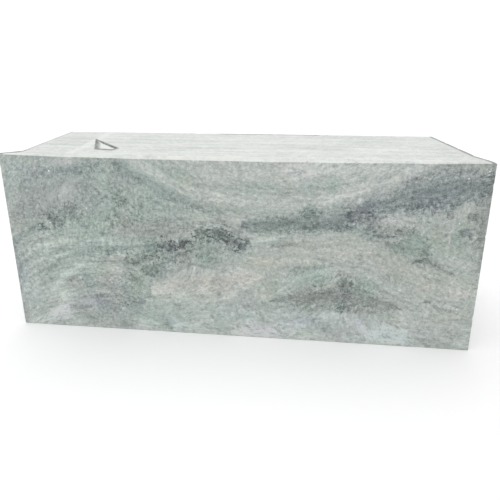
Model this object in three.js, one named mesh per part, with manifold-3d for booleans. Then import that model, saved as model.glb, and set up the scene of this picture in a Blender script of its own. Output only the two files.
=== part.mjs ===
// Marble slab: one thick, free-standing slab of grey-green banded marble, cut from the quarry block.
//
// The long front face is sawn and polished, the top, back and base are sawn flat, and both ends are
// hewn with a hammer and point behind a narrow margin left next to the polished face. The arrises are
// eased, the one between the polished face and the top is worn down most in the middle, small chips are
// knocked out of every arris, and the top has a shallow wedge of a pocket near its left end. It is all
// one stone, so it is one solid.
//
// Millimetres. +X runs along the slab, to the right as one faces the polished side; +Y runs from the
// polished face to the back; +Z is up. The origin is the middle of the base.

import * as THREE from "three";
import { mergeVertices } from "three/addons/utils/BufferGeometryUtils.js";
import Module from "manifold-3d";

// The sawn slab.
const LENGTH = 2400;
const THICKNESS = 640;
const HEIGHT = 990;
const FRONT = -THICKNESS / 2;
const BACK = THICKNESS / 2;
const EASED_ARRIS = 4;

// The worn arris over the polished face: how far down that face the wear reaches at its least and at
// its deepest, where along the slab it is deepest, how far back it reaches for its depth, and how
// uneven it is.
const WEAR = { least: 3, deepest: 16, deepestAt: -50, back: 0.7, uneven: 1.6, wave: 75 };
const WEAR_STATIONS = 56;

// The hewn ends: which way each faces, the width of its flush margin and of the step behind that, and
// how far it is set back at the margin and at the back.
const ENDS = {
  left: { side: -1, margin: 12, step: 50, setbackAtMargin: 78, setbackAtBack: 1, seed: 3 },
  right: { side: 1, margin: 36, step: 80, setbackAtMargin: 23, setbackAtBack: 24, seed: 11 },
};
const RIM_ARRIS = 6; // cut off the arris between an end and the top or the base
const TOOLING_DEPTH = 9; // from ridge to hollow
const TOOLING_SCOOP = 95; // across one hammer scoop
const FINE_TOOLING = 2.3; // how many point marks fit across one scoop
const RIM_CARE = { width: 80, share: 0.22 }; // near the rims only this share of the depth is hewn away
const DEPTH_STATIONS = 24; // rows of facets from the margin to the back
const HEIGHT_STATIONS = 34; // rows of facets from the base to the top

// The pocket in the top. Each side starts at a corner of the mouth (x, y) and leans in by its own amount
// on its way down: the left side slopes, the others are steep.
const POCKET_SIDES = [
  { from: [-887, 70], lean: 26 },
  { from: [-768, -168], lean: 3 },
  { from: [-661, -181], lean: 3 },
  { from: [-653, -147], lean: 3 },
];
const POCKET_DEPTH = 9;
const POCKET_ROUNDING = 9;
const POCKET_CORNER_STEPS = 5;

// Chips: how many there are along each kind of arris, and how long the shortest and the longest are.
const CHIPS = {
  frontTop: { count: 7, shortest: 7, longest: 15 },
  frontBottom: { count: 11, shortest: 14, longest: 52 },
  frontUpright: { count: 7, shortest: 12, longest: 40 },
  backLong: { count: 15, shortest: 20, longest: 86 },
  backUpright: { count: 8, shortest: 20, longest: 70 },
  endRim: { count: 4, shortest: 12, longest: 34 },
};
const CHIP_BITE = 0.2; // depth of a chip for its length
const CHIP_BIAS = 2.4; // above 1, most chips are near the shortest
const CHIP_DETAIL = 1; // subdivisions of the icosahedron that cuts a chip
const CHIP_END_MARGIN = 30; // no chip is centred nearer to a corner than this

const PAST_THE_FACES = 100; // how far a cutter that runs the slab's whole length sticks out

// A fixed number from 0 to 1 for any three whole numbers.
function hash(i, j, k) {
  const s = Math.sin(i * 127.1 + j * 311.7 + k * 74.7) * 43758.5453;
  return s - Math.floor(s);
}

const mix = (a, b, t) => a + (b - a) * t;
const smooth = (t) => t * t * (3 - 2 * t);

// Smooth noise from 0 to 1 over a plane.
function noise(u, v, seed) {
  const i = Math.floor(u);
  const j = Math.floor(v);
  const fu = smooth(u - i);
  const fv = smooth(v - j);
  const low = mix(hash(i, j, seed), hash(i + 1, j, seed), fu);
  const high = mix(hash(i, j + 1, seed), hash(i + 1, j + 1, seed), fu);
  return mix(low, high, fv);
}

// How deep the hammer went at a point of an end: round scoops that meet in sharp ridges, held back
// near the rims so that these stay straight.
function tooling(y, z, seed) {
  const u = y / TOOLING_SCOOP;
  const v = z / TOOLING_SCOOP;
  const scoops = 1 - Math.abs(2 * noise(u, v, seed) - 1);
  const points = noise(FINE_TOOLING * u, FINE_TOOLING * v, seed + 1);
  const toRim = Math.min(z, HEIGHT - z, BACK - y) / RIM_CARE.width;
  return TOOLING_DEPTH * mix(scoops, points, 0.3) * mix(RIM_CARE.share, 1, smooth(Math.min(1, toRim)));
}

// X of an end face at a depth y and height z. The margin is flush with the slab's full length, and the
// top and base rims are cut back by their arris.
function endX(end, y, z) {
  const arris = z > 0 && z < HEIGHT ? 0 : RIM_ARRIS;
  const behindMargin = y - (FRONT + end.margin);
  if (behindMargin <= 0) return end.side * (LENGTH / 2 - arris);
  const onStep = Math.min(1, behindMargin / end.step);
  const toBack = (behindMargin - end.step) / (THICKNESS - end.margin - end.step);
  const setback = mix(end.setbackAtMargin, end.setbackAtBack, Math.max(0, toBack));
  return end.side * (LENGTH / 2 - arris - onStep * (setback + tooling(y, z, end.seed)));
}

// How far down the polished face its top arris is worn at x.
function wear(x) {
  const away = (x - WEAR.deepestAt) / (LENGTH / 2 + Math.abs(WEAR.deepestAt));
  const wave = 2 * noise(x / WEAR.wave, 0.5, 23) - 1;
  return mix(WEAR.deepest, WEAR.least, away * away) + WEAR.uneven * wave;
}

// Evenly spaced numbers, both limits included.
function spread(from, to, count) {
  return Array.from({ length: count + 1 }, (_, i) => mix(from, to, i / count));
}

// A closed three.js geometry from its points and triangles.
function closedGeometry(positions, faces) {
  const geometry = new THREE.BufferGeometry();
  geometry.setAttribute("position", new THREE.Float32BufferAttribute(positions, 3));
  return geometry.setIndex(faces);
}

// The sawn block with its two hewn ends: a grid of points at each end, joined round their rims.
function hewnBlock() {
  const heights = [0, ...spread(RIM_ARRIS, HEIGHT - RIM_ARRIS, HEIGHT_STATIONS), HEIGHT];
  const positions = [];
  for (const end of [ENDS.left, ENDS.right]) {
    const margin = FRONT + end.margin;
    const behindStep = spread(margin + end.step, BACK, DEPTH_STATIONS);
    const depths = [FRONT, margin, margin + end.step / 2, ...behindStep];
    for (const z of heights) {
      for (const y of depths) positions.push(endX(end, y, z), y, z);
    }
  }

  const across = DEPTH_STATIONS + 4;
  const up = heights.length;
  const left = (j, k) => k * across + j;
  const right = (j, k) => across * up + left(j, k);
  const faces = [];
  const quad = (a, b, c, d) => faces.push(a, b, c, a, c, d);
  const backmost = across - 1;
  const topmost = up - 1;
  for (let k = 0; k < topmost; k++) {
    for (let j = 0; j < backmost; j++) {
      quad(left(j, k), left(j, k + 1), left(j + 1, k + 1), left(j + 1, k));
      quad(right(j, k), right(j + 1, k), right(j + 1, k + 1), right(j, k + 1));
    }
    quad(left(0, k), right(0, k), right(0, k + 1), left(0, k + 1));
    quad(left(backmost, k), left(backmost, k + 1), right(backmost, k + 1), right(backmost, k));
  }
  for (let j = 0; j < backmost; j++) {
    quad(left(j, 0), left(j + 1, 0), right(j + 1, 0), right(j, 0));
    quad(left(j, topmost), right(j, topmost), right(j + 1, topmost), left(j + 1, topmost));
  }
  return closedGeometry(positions, faces);
}

// A bar with a rectangular section whose corners are cut off, run along Z and centred on it.
function easedBar(width, depth, length) {
  const w = width / 2;
  const d = depth / 2;
  const corners = [
    [w - EASED_ARRIS, -d],
    [w, -d + EASED_ARRIS],
    [w, d - EASED_ARRIS],
    [w - EASED_ARRIS, d],
    [-w + EASED_ARRIS, d],
    [-w, d - EASED_ARRIS],
    [-w, -d + EASED_ARRIS],
    [-w + EASED_ARRIS, -d],
  ];
  const section = new THREE.Shape(corners.map(([x, y]) => new THREE.Vector2(x, y)));
  const bar = new THREE.ExtrudeGeometry(section, { depth: length, bevelEnabled: false });
  return bar.translate(0, 0, -length / 2);
}

// The wedge that wears down the front top arris: three-cornered rings that run past both ends.
function wearCutter() {
  const stations = spread(-LENGTH / 2 - PAST_THE_FACES, LENGTH / 2 + PAST_THE_FACES, WEAR_STATIONS);
  const positions = stations.flatMap((x) => {
    const down = wear(Math.max(-LENGTH / 2, Math.min(LENGTH / 2, x)));
    const [low, high] = [-0.5, 1.5].map((share) => [
      FRONT + WEAR.back * down * share,
      HEIGHT - down + down * share,
    ]);
    return [x, ...low, x, ...high, x, low[0], high[1]];
  });
  const faces = [0, 2, 1];
  const last = 3 * WEAR_STATIONS;
  faces.push(last, last + 1, last + 2);
  for (let ring = 0; ring < last; ring += 3) {
    for (let i = 0; i < 3; i++) {
      const here = ring + i;
      const next = ring + ((i + 1) % 3);
      faces.push(here, next, next + 3);
      faces.push(here, next + 3, here + 3);
    }
  }
  return closedGeometry(positions, faces);
}

// Where two lines of the plane meet, each given by a point and a direction.
function crossing(p, along, q, other) {
  const t = q.clone().sub(p).cross(other) / along.cross(other);
  return p.clone().addScaledVector(along, t);
}

// The item of a closed round that comes `by` after the i-th.
const inRound = (items, i, by) => items[(i + by + items.length) % items.length];

// The pocket's corners after each side has leant in by `share` of its whole lean.
function pocketCorners(share) {
  const lines = POCKET_SIDES.map(({ from, lean }, i) => {
    const start = new THREE.Vector2(...from);
    const end = new THREE.Vector2(...inRound(POCKET_SIDES, i, 1).from);
    const along = end.sub(start).normalize();
    const inwards = new THREE.Vector2(-along.y, along.x);
    return { point: start.addScaledVector(inwards, lean * share), along };
  });
  return lines.map((line, i) => {
    const last = inRound(lines, i, -1);
    return crossing(last.point, last.along, line.point, line.along);
  });
}

// The pocket's outline with its corners rounded, as a ring of points.
function pocketOutline(share) {
  const corners = pocketCorners(share);
  return corners.flatMap((corner, i) => {
    const toLast = inRound(corners, i, -1).clone().sub(corner).normalize();
    const toNext = inRound(corners, i, 1).clone().sub(corner).normalize();
    const halfAngle = Math.acos(toLast.dot(toNext)) / 2;
    const inwards = toLast.add(toNext).normalize();
    const centre = corner.clone().addScaledVector(inwards, POCKET_ROUNDING / Math.sin(halfAngle));
    const from = Math.atan2(-inwards.y, -inwards.x) - (Math.PI / 2 - halfAngle);
    return spread(from, from + Math.PI - 2 * halfAngle, POCKET_CORNER_STEPS).map((angle) => {
      const spoke = new THREE.Vector2(Math.cos(angle), Math.sin(angle));
      return centre.clone().addScaledVector(spoke, POCKET_ROUNDING);
    });
  });
}

// The solid that cuts the pocket: rings of the outline from above the top down to the floor.
function pocketCutter() {
  const rings = [
    { share: -0.5, z: HEIGHT + POCKET_DEPTH / 2 },
    { share: 0, z: HEIGHT },
    { share: 0.6, z: HEIGHT - POCKET_DEPTH * 0.8 },
    { share: 1, z: HEIGHT - POCKET_DEPTH },
  ];
  const positions = rings.flatMap(({ share, z }) => pocketOutline(share).flatMap((p) => [p.x, p.y, z]));
  const round = positions.length / 3 / rings.length;
  const faces = [];
  for (let r = 0; r + 1 < rings.length; r++) {
    for (let i = 0; i < round; i++) {
      const here = r * round + i;
      const next = r * round + ((i + 1) % round);
      faces.push(here, next + round, next);
      faces.push(here, here + round, next + round);
    }
  }
  const floor = (rings.length - 1) * round;
  for (let i = 1; i + 1 < round; i++) {
    faces.push(0, i, i + 1);
    faces.push(floor, floor + i + 1, floor + i);
  }
  return closedGeometry(positions, faces);
}

// The lump that knocks one chip out of an arris: a stretched, uneven ball that lies along it.
function chipCutter(at, along, outwards, length, seed) {
  const bite = length * CHIP_BITE;
  const ico = new THREE.IcosahedronGeometry(1, CHIP_DETAIL);
  const ball = mergeVertices(ico.deleteAttribute("normal").deleteAttribute("uv"));
  const place = ball.getAttribute("position");
  const corner = new THREE.Vector3();
  for (let i = 0; i < place.count; i++) {
    corner.fromBufferAttribute(place, i).multiplyScalar(0.82 + 0.36 * hash(i, seed, 5));
    place.setXYZ(i, corner.x, corner.y, corner.z);
  }
  const across = new THREE.Vector3().crossVectors(outwards, along);
  const turn = new THREE.Matrix4().makeBasis(along, across, outwards);
  const centre = at.clone().addScaledVector(outwards, bite * 0.35);
  return ball
    .scale(length / 2, bite * (1.3 + hash(seed, 2, 2)), bite * 1.25)
    .rotateZ(0.5 * (hash(seed, 7, 7) - 0.5))
    .applyMatrix4(turn)
    .translate(centre.x, centre.y, centre.z);
}

// Every arris: where it runs, as a function of t from 0 to 1, and which way it points.
function arrises() {
  const at = (x, y, z) => new THREE.Vector3(x, y, z);
  const x = (t) => mix(-LENGTH / 2, LENGTH / 2, t);
  const y = (t) => mix(FRONT, BACK, t);
  const z = (t) => mix(0, HEIGHT, t);
  const arris = (kind, run, along, outwards) => ({
    kind,
    run,
    length: run(0).distanceTo(run(1)),
    along: at(...along),
    outwards: at(...outwards).normalize(),
  });
  const long = [
    arris("frontTop", (t) => at(x(t), FRONT, HEIGHT - wear(x(t))), [1, 0, 0], [0, -1, 0.7]),
    arris("frontBottom", (t) => at(x(t), FRONT, 0), [1, 0, 0], [0, -1, -1]),
    arris("backLong", (t) => at(x(t), BACK, HEIGHT), [1, 0, 0], [0, 1, 1]),
    arris("backLong", (t) => at(x(t), BACK, 0), [1, 0, 0], [0, 1, -1]),
  ];
  const atEnd = (end) => {
    const flush = (end.side * LENGTH) / 2;
    const backUpright = (t) => at(endX(end, BACK, z(t)), BACK, z(t));
    const topRim = (t) => at(endX(end, y(t), HEIGHT), y(t), HEIGHT);
    const baseRim = (t) => at(endX(end, y(t), 0), y(t), 0);
    return [
      arris("frontUpright", (t) => at(flush, FRONT, z(t)), [0, 0, 1], [end.side, -1, 0]),
      arris("backUpright", backUpright, [0, 0, 1], [end.side, 1, 0]),
      arris("endRim", topRim, [0, 1, 0], [end.side, 0, 1]),
      arris("endRim", baseRim, [0, 1, 0], [end.side, 0, -1]),
    ];
  };
  return [...long, ...atEnd(ENDS.left), ...atEnd(ENDS.right)];
}

// All the chip cutters, spread unevenly along each arris and mostly small.
function chipCutters() {
  return arrises().flatMap((arris, n) => {
    const { count, shortest, longest } = CHIPS[arris.kind];
    const clear = CHIP_END_MARGIN / arris.length;
    return Array.from({ length: count }, (_, i) => {
      const seed = 100 * n + i;
      const t = mix(clear, 1 - clear, (i + 0.15 + 0.7 * hash(seed, 1, 1)) / count);
      const length = mix(shortest, longest, hash(seed, 3, 3) ** CHIP_BIAS);
      return chipCutter(arris.run(t), arris.along, arris.outwards, length, seed);
    });
  });
}

const wasm = await Module();
wasm.setup();

// A three.js geometry as a manifold solid.
function solid(geometry) {
  const bare = new THREE.BufferGeometry().setAttribute("position", geometry.getAttribute("position"));
  const merged = mergeVertices(bare.setIndex(geometry.index), 1e-3);
  const vertProperties = merged.getAttribute("position").array;
  const triVerts = new Uint32Array(merged.index.array);
  return new wasm.Manifold(new wasm.Mesh({ numProp: 3, vertProperties, triVerts }));
}

// A manifold solid as a three.js geometry.
function geometryOf(made) {
  const mesh = made.getMesh();
  const geometry = new THREE.BufferGeometry();
  geometry.setAttribute("position", new THREE.BufferAttribute(new Float32Array(mesh.vertProperties), 3));
  geometry.setIndex(new THREE.BufferAttribute(new Uint32Array(mesh.triVerts), 1));
  geometry.computeVertexNormals();
  return geometry;
}

// The block inside two eased bars, one along it and one up it, that run past its faces.
const alongSlab = easedBar(HEIGHT, THICKNESS, LENGTH + PAST_THE_FACES).rotateY(Math.PI / 2);
const upSlab = easedBar(LENGTH, THICKNESS, HEIGHT + PAST_THE_FACES);
let slab = solid(hewnBlock());
for (const bar of [alongSlab, upSlab]) slab = slab.intersect(solid(bar.translate(0, 0, HEIGHT / 2)));

slab = slab.subtract(solid(wearCutter())).subtract(solid(pocketCutter()));
for (const cutter of chipCutters()) slab = slab.subtract(solid(cutter));

const marble = new THREE.MeshStandardMaterial({ color: 0xabb4af, roughness: 0.35, metalness: 0 });
const marbleSlab = new THREE.Mesh(geometryOf(slab), marble);
marbleSlab.name = "marble_slab";

const group = new THREE.Group();
group.add(marbleSlab);
export default group;
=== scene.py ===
# %% [markdown]
# # A slab of banded marble
#
# This lesson dresses one big piece of stone: a marble slab, sawn from a quarry block and stood on its long
# edge. Its long face is polished, its top, back and base are only sawn, and a hammer took off its two ends.
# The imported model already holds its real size, its chipped arrises and the pocket in its top. What is left
# for Blender is what makes it marble: folded beds of light and dark crystals that run right through the
# block, and the different skin that each tool left on it.

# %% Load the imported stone
import math

import bpy
from mathutils import Matrix, Vector


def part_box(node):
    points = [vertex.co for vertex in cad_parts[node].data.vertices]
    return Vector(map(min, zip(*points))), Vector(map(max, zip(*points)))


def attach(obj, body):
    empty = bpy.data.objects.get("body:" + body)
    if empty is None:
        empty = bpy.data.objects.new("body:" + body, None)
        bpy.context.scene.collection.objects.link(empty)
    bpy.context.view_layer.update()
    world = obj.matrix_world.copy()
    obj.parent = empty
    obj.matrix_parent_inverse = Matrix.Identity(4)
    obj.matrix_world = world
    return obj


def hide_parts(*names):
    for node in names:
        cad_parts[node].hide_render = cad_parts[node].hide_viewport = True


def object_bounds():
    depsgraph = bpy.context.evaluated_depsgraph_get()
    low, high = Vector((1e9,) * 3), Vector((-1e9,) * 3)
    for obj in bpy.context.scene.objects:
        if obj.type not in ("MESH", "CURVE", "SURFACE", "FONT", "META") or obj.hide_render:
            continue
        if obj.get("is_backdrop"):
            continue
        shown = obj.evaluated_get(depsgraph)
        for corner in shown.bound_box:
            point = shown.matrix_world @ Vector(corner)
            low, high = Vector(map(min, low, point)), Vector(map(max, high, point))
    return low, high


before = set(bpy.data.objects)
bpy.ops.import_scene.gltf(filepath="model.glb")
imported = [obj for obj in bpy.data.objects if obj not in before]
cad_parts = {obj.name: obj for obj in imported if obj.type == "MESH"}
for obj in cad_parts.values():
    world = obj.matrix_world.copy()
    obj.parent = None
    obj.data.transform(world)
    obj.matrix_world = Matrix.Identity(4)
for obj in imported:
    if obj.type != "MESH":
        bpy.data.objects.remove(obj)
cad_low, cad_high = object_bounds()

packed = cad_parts["marble_slab"]
low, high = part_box("marble_slab")
LENGTH, THICKNESS, HEIGHT = high - low
FRONT, BACK = low.y, high.y
print(f"stone: {LENGTH:.3f} m long, {THICKNESS:.3f} m thick, {HEIGHT:.3f} m high")

# %% [markdown]
# ## Where the viewer stands
#
# A slab this long is looked at from close by, with a wide lens: a person stands a little right of its middle,
# holds the camera at chest height and tips it down. The upright edges then lean together towards the
# bottom. The frame is cut low, so the lens is shifted down too, which moves the picture without bending it.

# %% The camera
EYE = Vector((0.222, -1.927, 1.404))
TURNED_LEFT = math.radians(4.95)
TIPPED_DOWN = math.radians(12.61)
ROLLED = math.radians(-0.10)
LENS = 25.2  # mm, on a sensor 36 mm wide
SHIFT_DOWN = 0.205  # share of the picture's width

camera_data = bpy.data.cameras.new("viewer")
camera_data.lens = LENS
camera_data.sensor_width = 36.0
camera_data.shift_y = -SHIFT_DOWN
camera = bpy.data.objects.new("viewer", camera_data)
bpy.context.scene.collection.objects.link(camera)
camera.location = EYE
heading = Matrix.Rotation(TURNED_LEFT, 4, "Z")
tilt = Matrix.Rotation(math.pi / 2 - TIPPED_DOWN, 4, "X")
roll = Matrix.Rotation(ROLLED, 4, "Z")
camera.rotation_euler = (heading @ tilt @ roll).to_euler()
bpy.context.scene.camera = camera
print(f"camera: {FRONT - EYE.y:.2f} m in front of the polished face, {EYE.z:.2f} m above the ground")

# %% [markdown]
# ## Light and floor
#
# Polished stone shows whatever stands round it, so it gets a plain white room: a white sky, a pale floor and
# one very broad light from above. That light makes the top the brightest face. The floor sends a good part
# of it back up on to the polished face, as open ground does, and only the foot of the stone is in shadow.

# %% The room
SKY = 0.62  # light from the sky
PLAIN_WHITE = 1.05  # what the camera itself sees there
OVERHEAD = 1.75  # W for each square metre that faces it
OVERHEAD_SPREAD = math.radians(70)
OVERHEAD_LEAN = (math.radians(6), math.radians(-8), 0.0)
FLOOR_SIZE = 60.0  # metres
FLOOR_SHADE = 0.93

scene = bpy.context.scene
scene.view_settings.view_transform = "Standard"
world = bpy.data.worlds.new("white_room")
world.use_nodes = True
sky = world.node_tree
seen = sky.nodes.new("ShaderNodeLightPath").outputs["Is Camera Ray"]
strength = sky.nodes.new("ShaderNodeMapRange")
strength.inputs["To Min"].default_value = SKY
strength.inputs["To Max"].default_value = PLAIN_WHITE
sky.links.new(seen, strength.inputs["Value"])
sky.links.new(strength.outputs["Result"], sky.nodes["Background"].inputs["Strength"])
sky.nodes["Background"].inputs["Color"].default_value = (1.0, 1.0, 1.0, 1.0)
scene.world = world

overhead_data = bpy.data.lights.new("overhead", "SUN")
overhead_data.energy = OVERHEAD
overhead_data.angle = OVERHEAD_SPREAD
overhead = bpy.data.objects.new("overhead", overhead_data)
overhead.rotation_euler = OVERHEAD_LEAN
scene.collection.objects.link(overhead)

floor_mesh = bpy.data.meshes.new("floor")
half = FLOOR_SIZE / 2
corners = [(-half, -half, 0), (half, -half, 0), (half, half, 0), (-half, half, 0)]
floor_mesh.from_pydata(corners, [], [(0, 1, 2, 3)])
floor = bpy.data.objects.new("floor", floor_mesh)
scene.collection.objects.link(floor)
floor_paint = bpy.data.materials.new("pale_floor")
floor_paint.use_nodes = True
floor_shader = floor_paint.node_tree.nodes["Principled BSDF"]
floor_shader.inputs["Base Color"].default_value = (FLOOR_SHADE, FLOOR_SHADE, FLOOR_SHADE, 1.0)
floor_shader.inputs["Roughness"].default_value = 1.0
floor_shader.inputs["Specular IOR Level"].default_value = 0.0
floor_mesh.materials.append(floor_paint)
floor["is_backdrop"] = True
print(f"room: sky {SKY}, light from above {OVERHEAD} W, floor {FLOOR_SIZE:.0f} m across")

# %% [markdown]
# ## Small helpers for node trees
#
# Every pattern below is a tree of nodes. Adding a node, setting what it needs and wiring it up is the same
# few lines each time, so they are written once here. A socket given as an input is linked, and a number is
# written into the input itself.

# %% Helpers for node trees
def add_node(tree, kind, inputs=None, **settings):
    """A new node, with its settings made and its inputs linked or written."""
    node = tree.nodes.new(kind)
    for name, value in settings.items():
        setattr(node, name, value)
    for name, value in (inputs or {}).items():
        if isinstance(value, bpy.types.NodeSocket):
            tree.links.new(value, node.inputs[name])
        else:
            node.inputs[name].default_value = value
    return node


def calc(tree, operation, *numbers):
    """One step of arithmetic on numbers."""
    return add_node(tree, "ShaderNodeMath", dict(enumerate(numbers)), operation=operation).outputs[0]


def calc_vector(tree, operation, *vectors):
    """One step of arithmetic on vectors."""
    return add_node(tree, "ShaderNodeVectorMath", dict(enumerate(vectors)), operation=operation).outputs[0]


def step(tree, value, low, high, start=0.0, end=1.0):
    """A smooth step: `start` where the value is at `low`, `end` where it is at `high`.

    It never goes past its ends, so it isn't clamped: that would be one more node for each of them.
    """
    inputs = {"Value": value, "From Min": low, "From Max": high, "To Min": start, "To Max": end}
    node = add_node(tree, "ShaderNodeMapRange", inputs, interpolation_type="SMOOTHSTEP", clamp=False)
    return node.outputs["Result"]


def noise(tree, place, scale, detail=2.0, roughness=0.5, distortion=0.0):
    """Noise from 0 to 1, as a node: `Fac` is one number and `Color` is three that don't agree."""
    inputs = {"Vector": place, "Scale": scale, "Detail": detail, "Roughness": roughness,
              "Distortion": distortion}
    return add_node(tree, "ShaderNodeTexNoise", inputs)


def curve(tree, value, points):
    """A number read off a smooth curve through points whose numbers are all from 0 to 1."""
    node = add_node(tree, "ShaderNodeFloatCurve", {"Value": value})
    line = node.mapping.curves[0]
    for _ in points[2:]:
        line.points.new(0.5, 0.5)
    for point, place in zip(line.points, sorted(points)):
        point.location = place
    node.mapping.update()
    return node.outputs["Value"]


def blend(tree, factor, first, second, **settings):
    """A mix of two colours."""
    inputs = {"Factor": factor, "A": first, "B": second}
    node = tree.nodes.new("ShaderNodeMix")
    node.data_type = "RGBA"
    for name, value in settings.items():
        setattr(node, name, value)
    for socket in node.inputs:
        if socket.enabled and socket.name in inputs:
            value = inputs[socket.name]
            if isinstance(value, bpy.types.NodeSocket):
                tree.links.new(value, socket)
            else:
                socket.default_value = value
    return next(socket for socket in node.outputs if socket.enabled)


def new_group(name, inputs, outputs, kind="ShaderNodeTree"):
    """An empty node group with named inputs and outputs: the group, its inputs and its outputs."""
    tree = bpy.data.node_groups.new(name, kind)
    for label, (socket_type, value) in inputs.items():
        socket = tree.interface.new_socket(label, in_out="INPUT", socket_type=socket_type)
        if value is not None:
            socket.default_value = value
    for label, socket_type in outputs.items():
        tree.interface.new_socket(label, in_out="OUTPUT", socket_type=socket_type)
    given = tree.nodes.new("NodeGroupInput")
    made = tree.nodes.new("NodeGroupOutput")
    return tree, given.outputs, made.inputs


def shade(red, green, blue):
    """A colour as a paint chart gives it, from 0 to 255, as the light that it sends back."""
    def light(part):
        part /= 255
        return part / 12.92 if part <= 0.04045 else ((part + 0.055) / 1.055) ** 2.4
    return (light(red), light(green), light(blue), 1.0)


# %% [markdown]
# ## Beds and folds
#
# Marble was once lime mud, laid down in flat beds. Heat turned the mud to crystals, and pressure bent the
# beds and dragged them out. A bed is still a sheet that runs through the whole block, so the pattern has to
# be drawn in three dimensions: the top of the block cuts the same sheets that the front does.
#
# `FOLDS` says how far the beds have been pushed up at places along the stone, at three heights on its front.
# Taking that push away again gives each point its height in the flat stack, and streaks drawn along flat
# beds then bend with the folds. Behind the front the beds dip, so everything is carried along that dip.

# %% Where the folds are
DIP = 0.35  # a bed is this much lower for every metre it runs back
DRIFT = 0.12  # and the folds move this much to the left
BEND = 0.6  # the curves hold pushes from minus half of this to plus half
FOLDS = {  # height on the front, then (place along the stone, push)
    0.90: [(-1.2, 0.0), (-0.95, 0.20), (-0.8, 0.26), (-0.54, 0.20), (-0.05, -0.06), (0.15, -0.10),
           (0.4, -0.07), (0.6, -0.02), (0.8, 0.07), (1.2, 0.19)],
    0.50: [(-1.2, -0.15), (-0.92, 0.0), (-0.46, 0.02), (-0.2, 0.12), (-0.09, 0.15), (0.07, 0.08),
           (0.34, 0.09), (0.65, 0.09), (0.8, 0.05), (1.03, -0.05), (1.2, -0.10)],
    0.25: [(-1.2, -0.25), (-0.92, 0.0), (-0.6, 0.05), (-0.45, -0.05), (0.12, 0.06), (0.2, -0.02),
           (0.57, 0.11), (0.85, 0.0), (1.2, -0.10)],
    0.02: [(-1.2, -0.2), (-0.9, 0.0), (-0.6, 0.02), (0.2, 0.0), (1.2, -0.04)],
}
STRETCH = 4.0  # streaks are this much longer than they are thick
STIR = (0.11, 0.0, 0.08)  # how far, in metres, seams and clouds are nudged about
SMALL_STIR = (0.04, 0.0, 0.03)  # and the streaks


def along(x):
    """A place along the stone as a number from 0 to 1."""
    return x / LENGTH + 0.5


print(f"folds: {sum(len(line) for line in FOLDS.values())} places at {len(FOLDS)} heights")

# %% The folded beds
VECTOR, NUMBER, COLOR = "NodeSocketVector", "NodeSocketFloat", "NodeSocketColor"

beds, given, made = new_group("folded_beds", {"Place": (VECTOR, None)},
                              {"Place": VECTOR, "Level": VECTOR, "Flat": VECTOR})
back_from_front = add_node(beds, "ShaderNodeSeparateXYZ", {0: given["Place"]}).outputs["Y"]
depth = calc(beds, "SUBTRACT", back_from_front, FRONT)
slide = calc_vector(beds, "MULTIPLY", depth, (DRIFT, 0.0, DIP))
carried = calc_vector(beds, "ADD", given["Place"], slide)

# Crystals never keep to a clean line, so nothing that is drawn stays quite where it was put.
stir = noise(beds, carried, 5.0, detail=4.0, roughness=0.55).outputs["Color"]
nudge = calc_vector(beds, "SUBTRACT", stir, (0.5, 0.5, 0.5))
stirred = calc_vector(beds, "MULTIPLY_ADD", nudge, STIR, carried)
eased = calc_vector(beds, "MULTIPLY_ADD", nudge, SMALL_STIR, carried)
parts = add_node(beds, "ShaderNodeSeparateXYZ", {0: eased}).outputs
x_share = calc(beds, "MULTIPLY_ADD", parts["X"], 1 / LENGTH, 0.5)
push = None
heights = sorted(FOLDS)
for below, height in zip([None] + heights, heights):
    points = [(along(x), amount / BEND + 0.5) for x, amount in FOLDS[height]]
    level = calc(beds, "MULTIPLY_ADD", curve(beds, x_share, points), BEND, -BEND / 2)
    if push is None:
        push = level
    else:
        share = step(beds, parts["Z"], below, height)
        push = calc(beds, "MULTIPLY_ADD", calc(beds, "SUBTRACT", level, push), share, push)
stack = calc(beds, "SUBTRACT", parts["Z"], push)
level = add_node(beds, "ShaderNodeCombineXYZ", {"X": parts["X"], "Y": parts["Y"], "Z": stack}).outputs[0]
beds.links.new(stirred, made["Place"])
beds.links.new(level, made["Level"])
beds.links.new(calc_vector(beds, "MULTIPLY", level, (1.0, 1.0, STRETCH)), made["Flat"])
print(f"beds: {len(beds.nodes)} nodes, dipping {math.degrees(math.atan(DIP)):.0f} degrees to the back")

# %% [markdown]
# ## Seams
#
# Mud between the beds of lime became green chlorite and grey mica. Pressure gathered it into clouds, which
# come next, and into seams that pinch and swell. On this stone a dome of speckled grey stands at the left, a
# dark ragged knot sits in the middle with a pale, warm tongue under it, and a dark seam leaves the knot and
# climbs to the right.
#
# A seam is a list of places: how far along, how high, and half its width there. It has a paint of three
# numbers: how much lighter, how much warmer (below 0 is greener), and how much bluer. A seam could be a curve
# laid in the stone, but then every point would have to look for the nearest part of it. Two curves over the
# stone's length, one for the height of the seam and one for its width, answer in one step.

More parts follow.
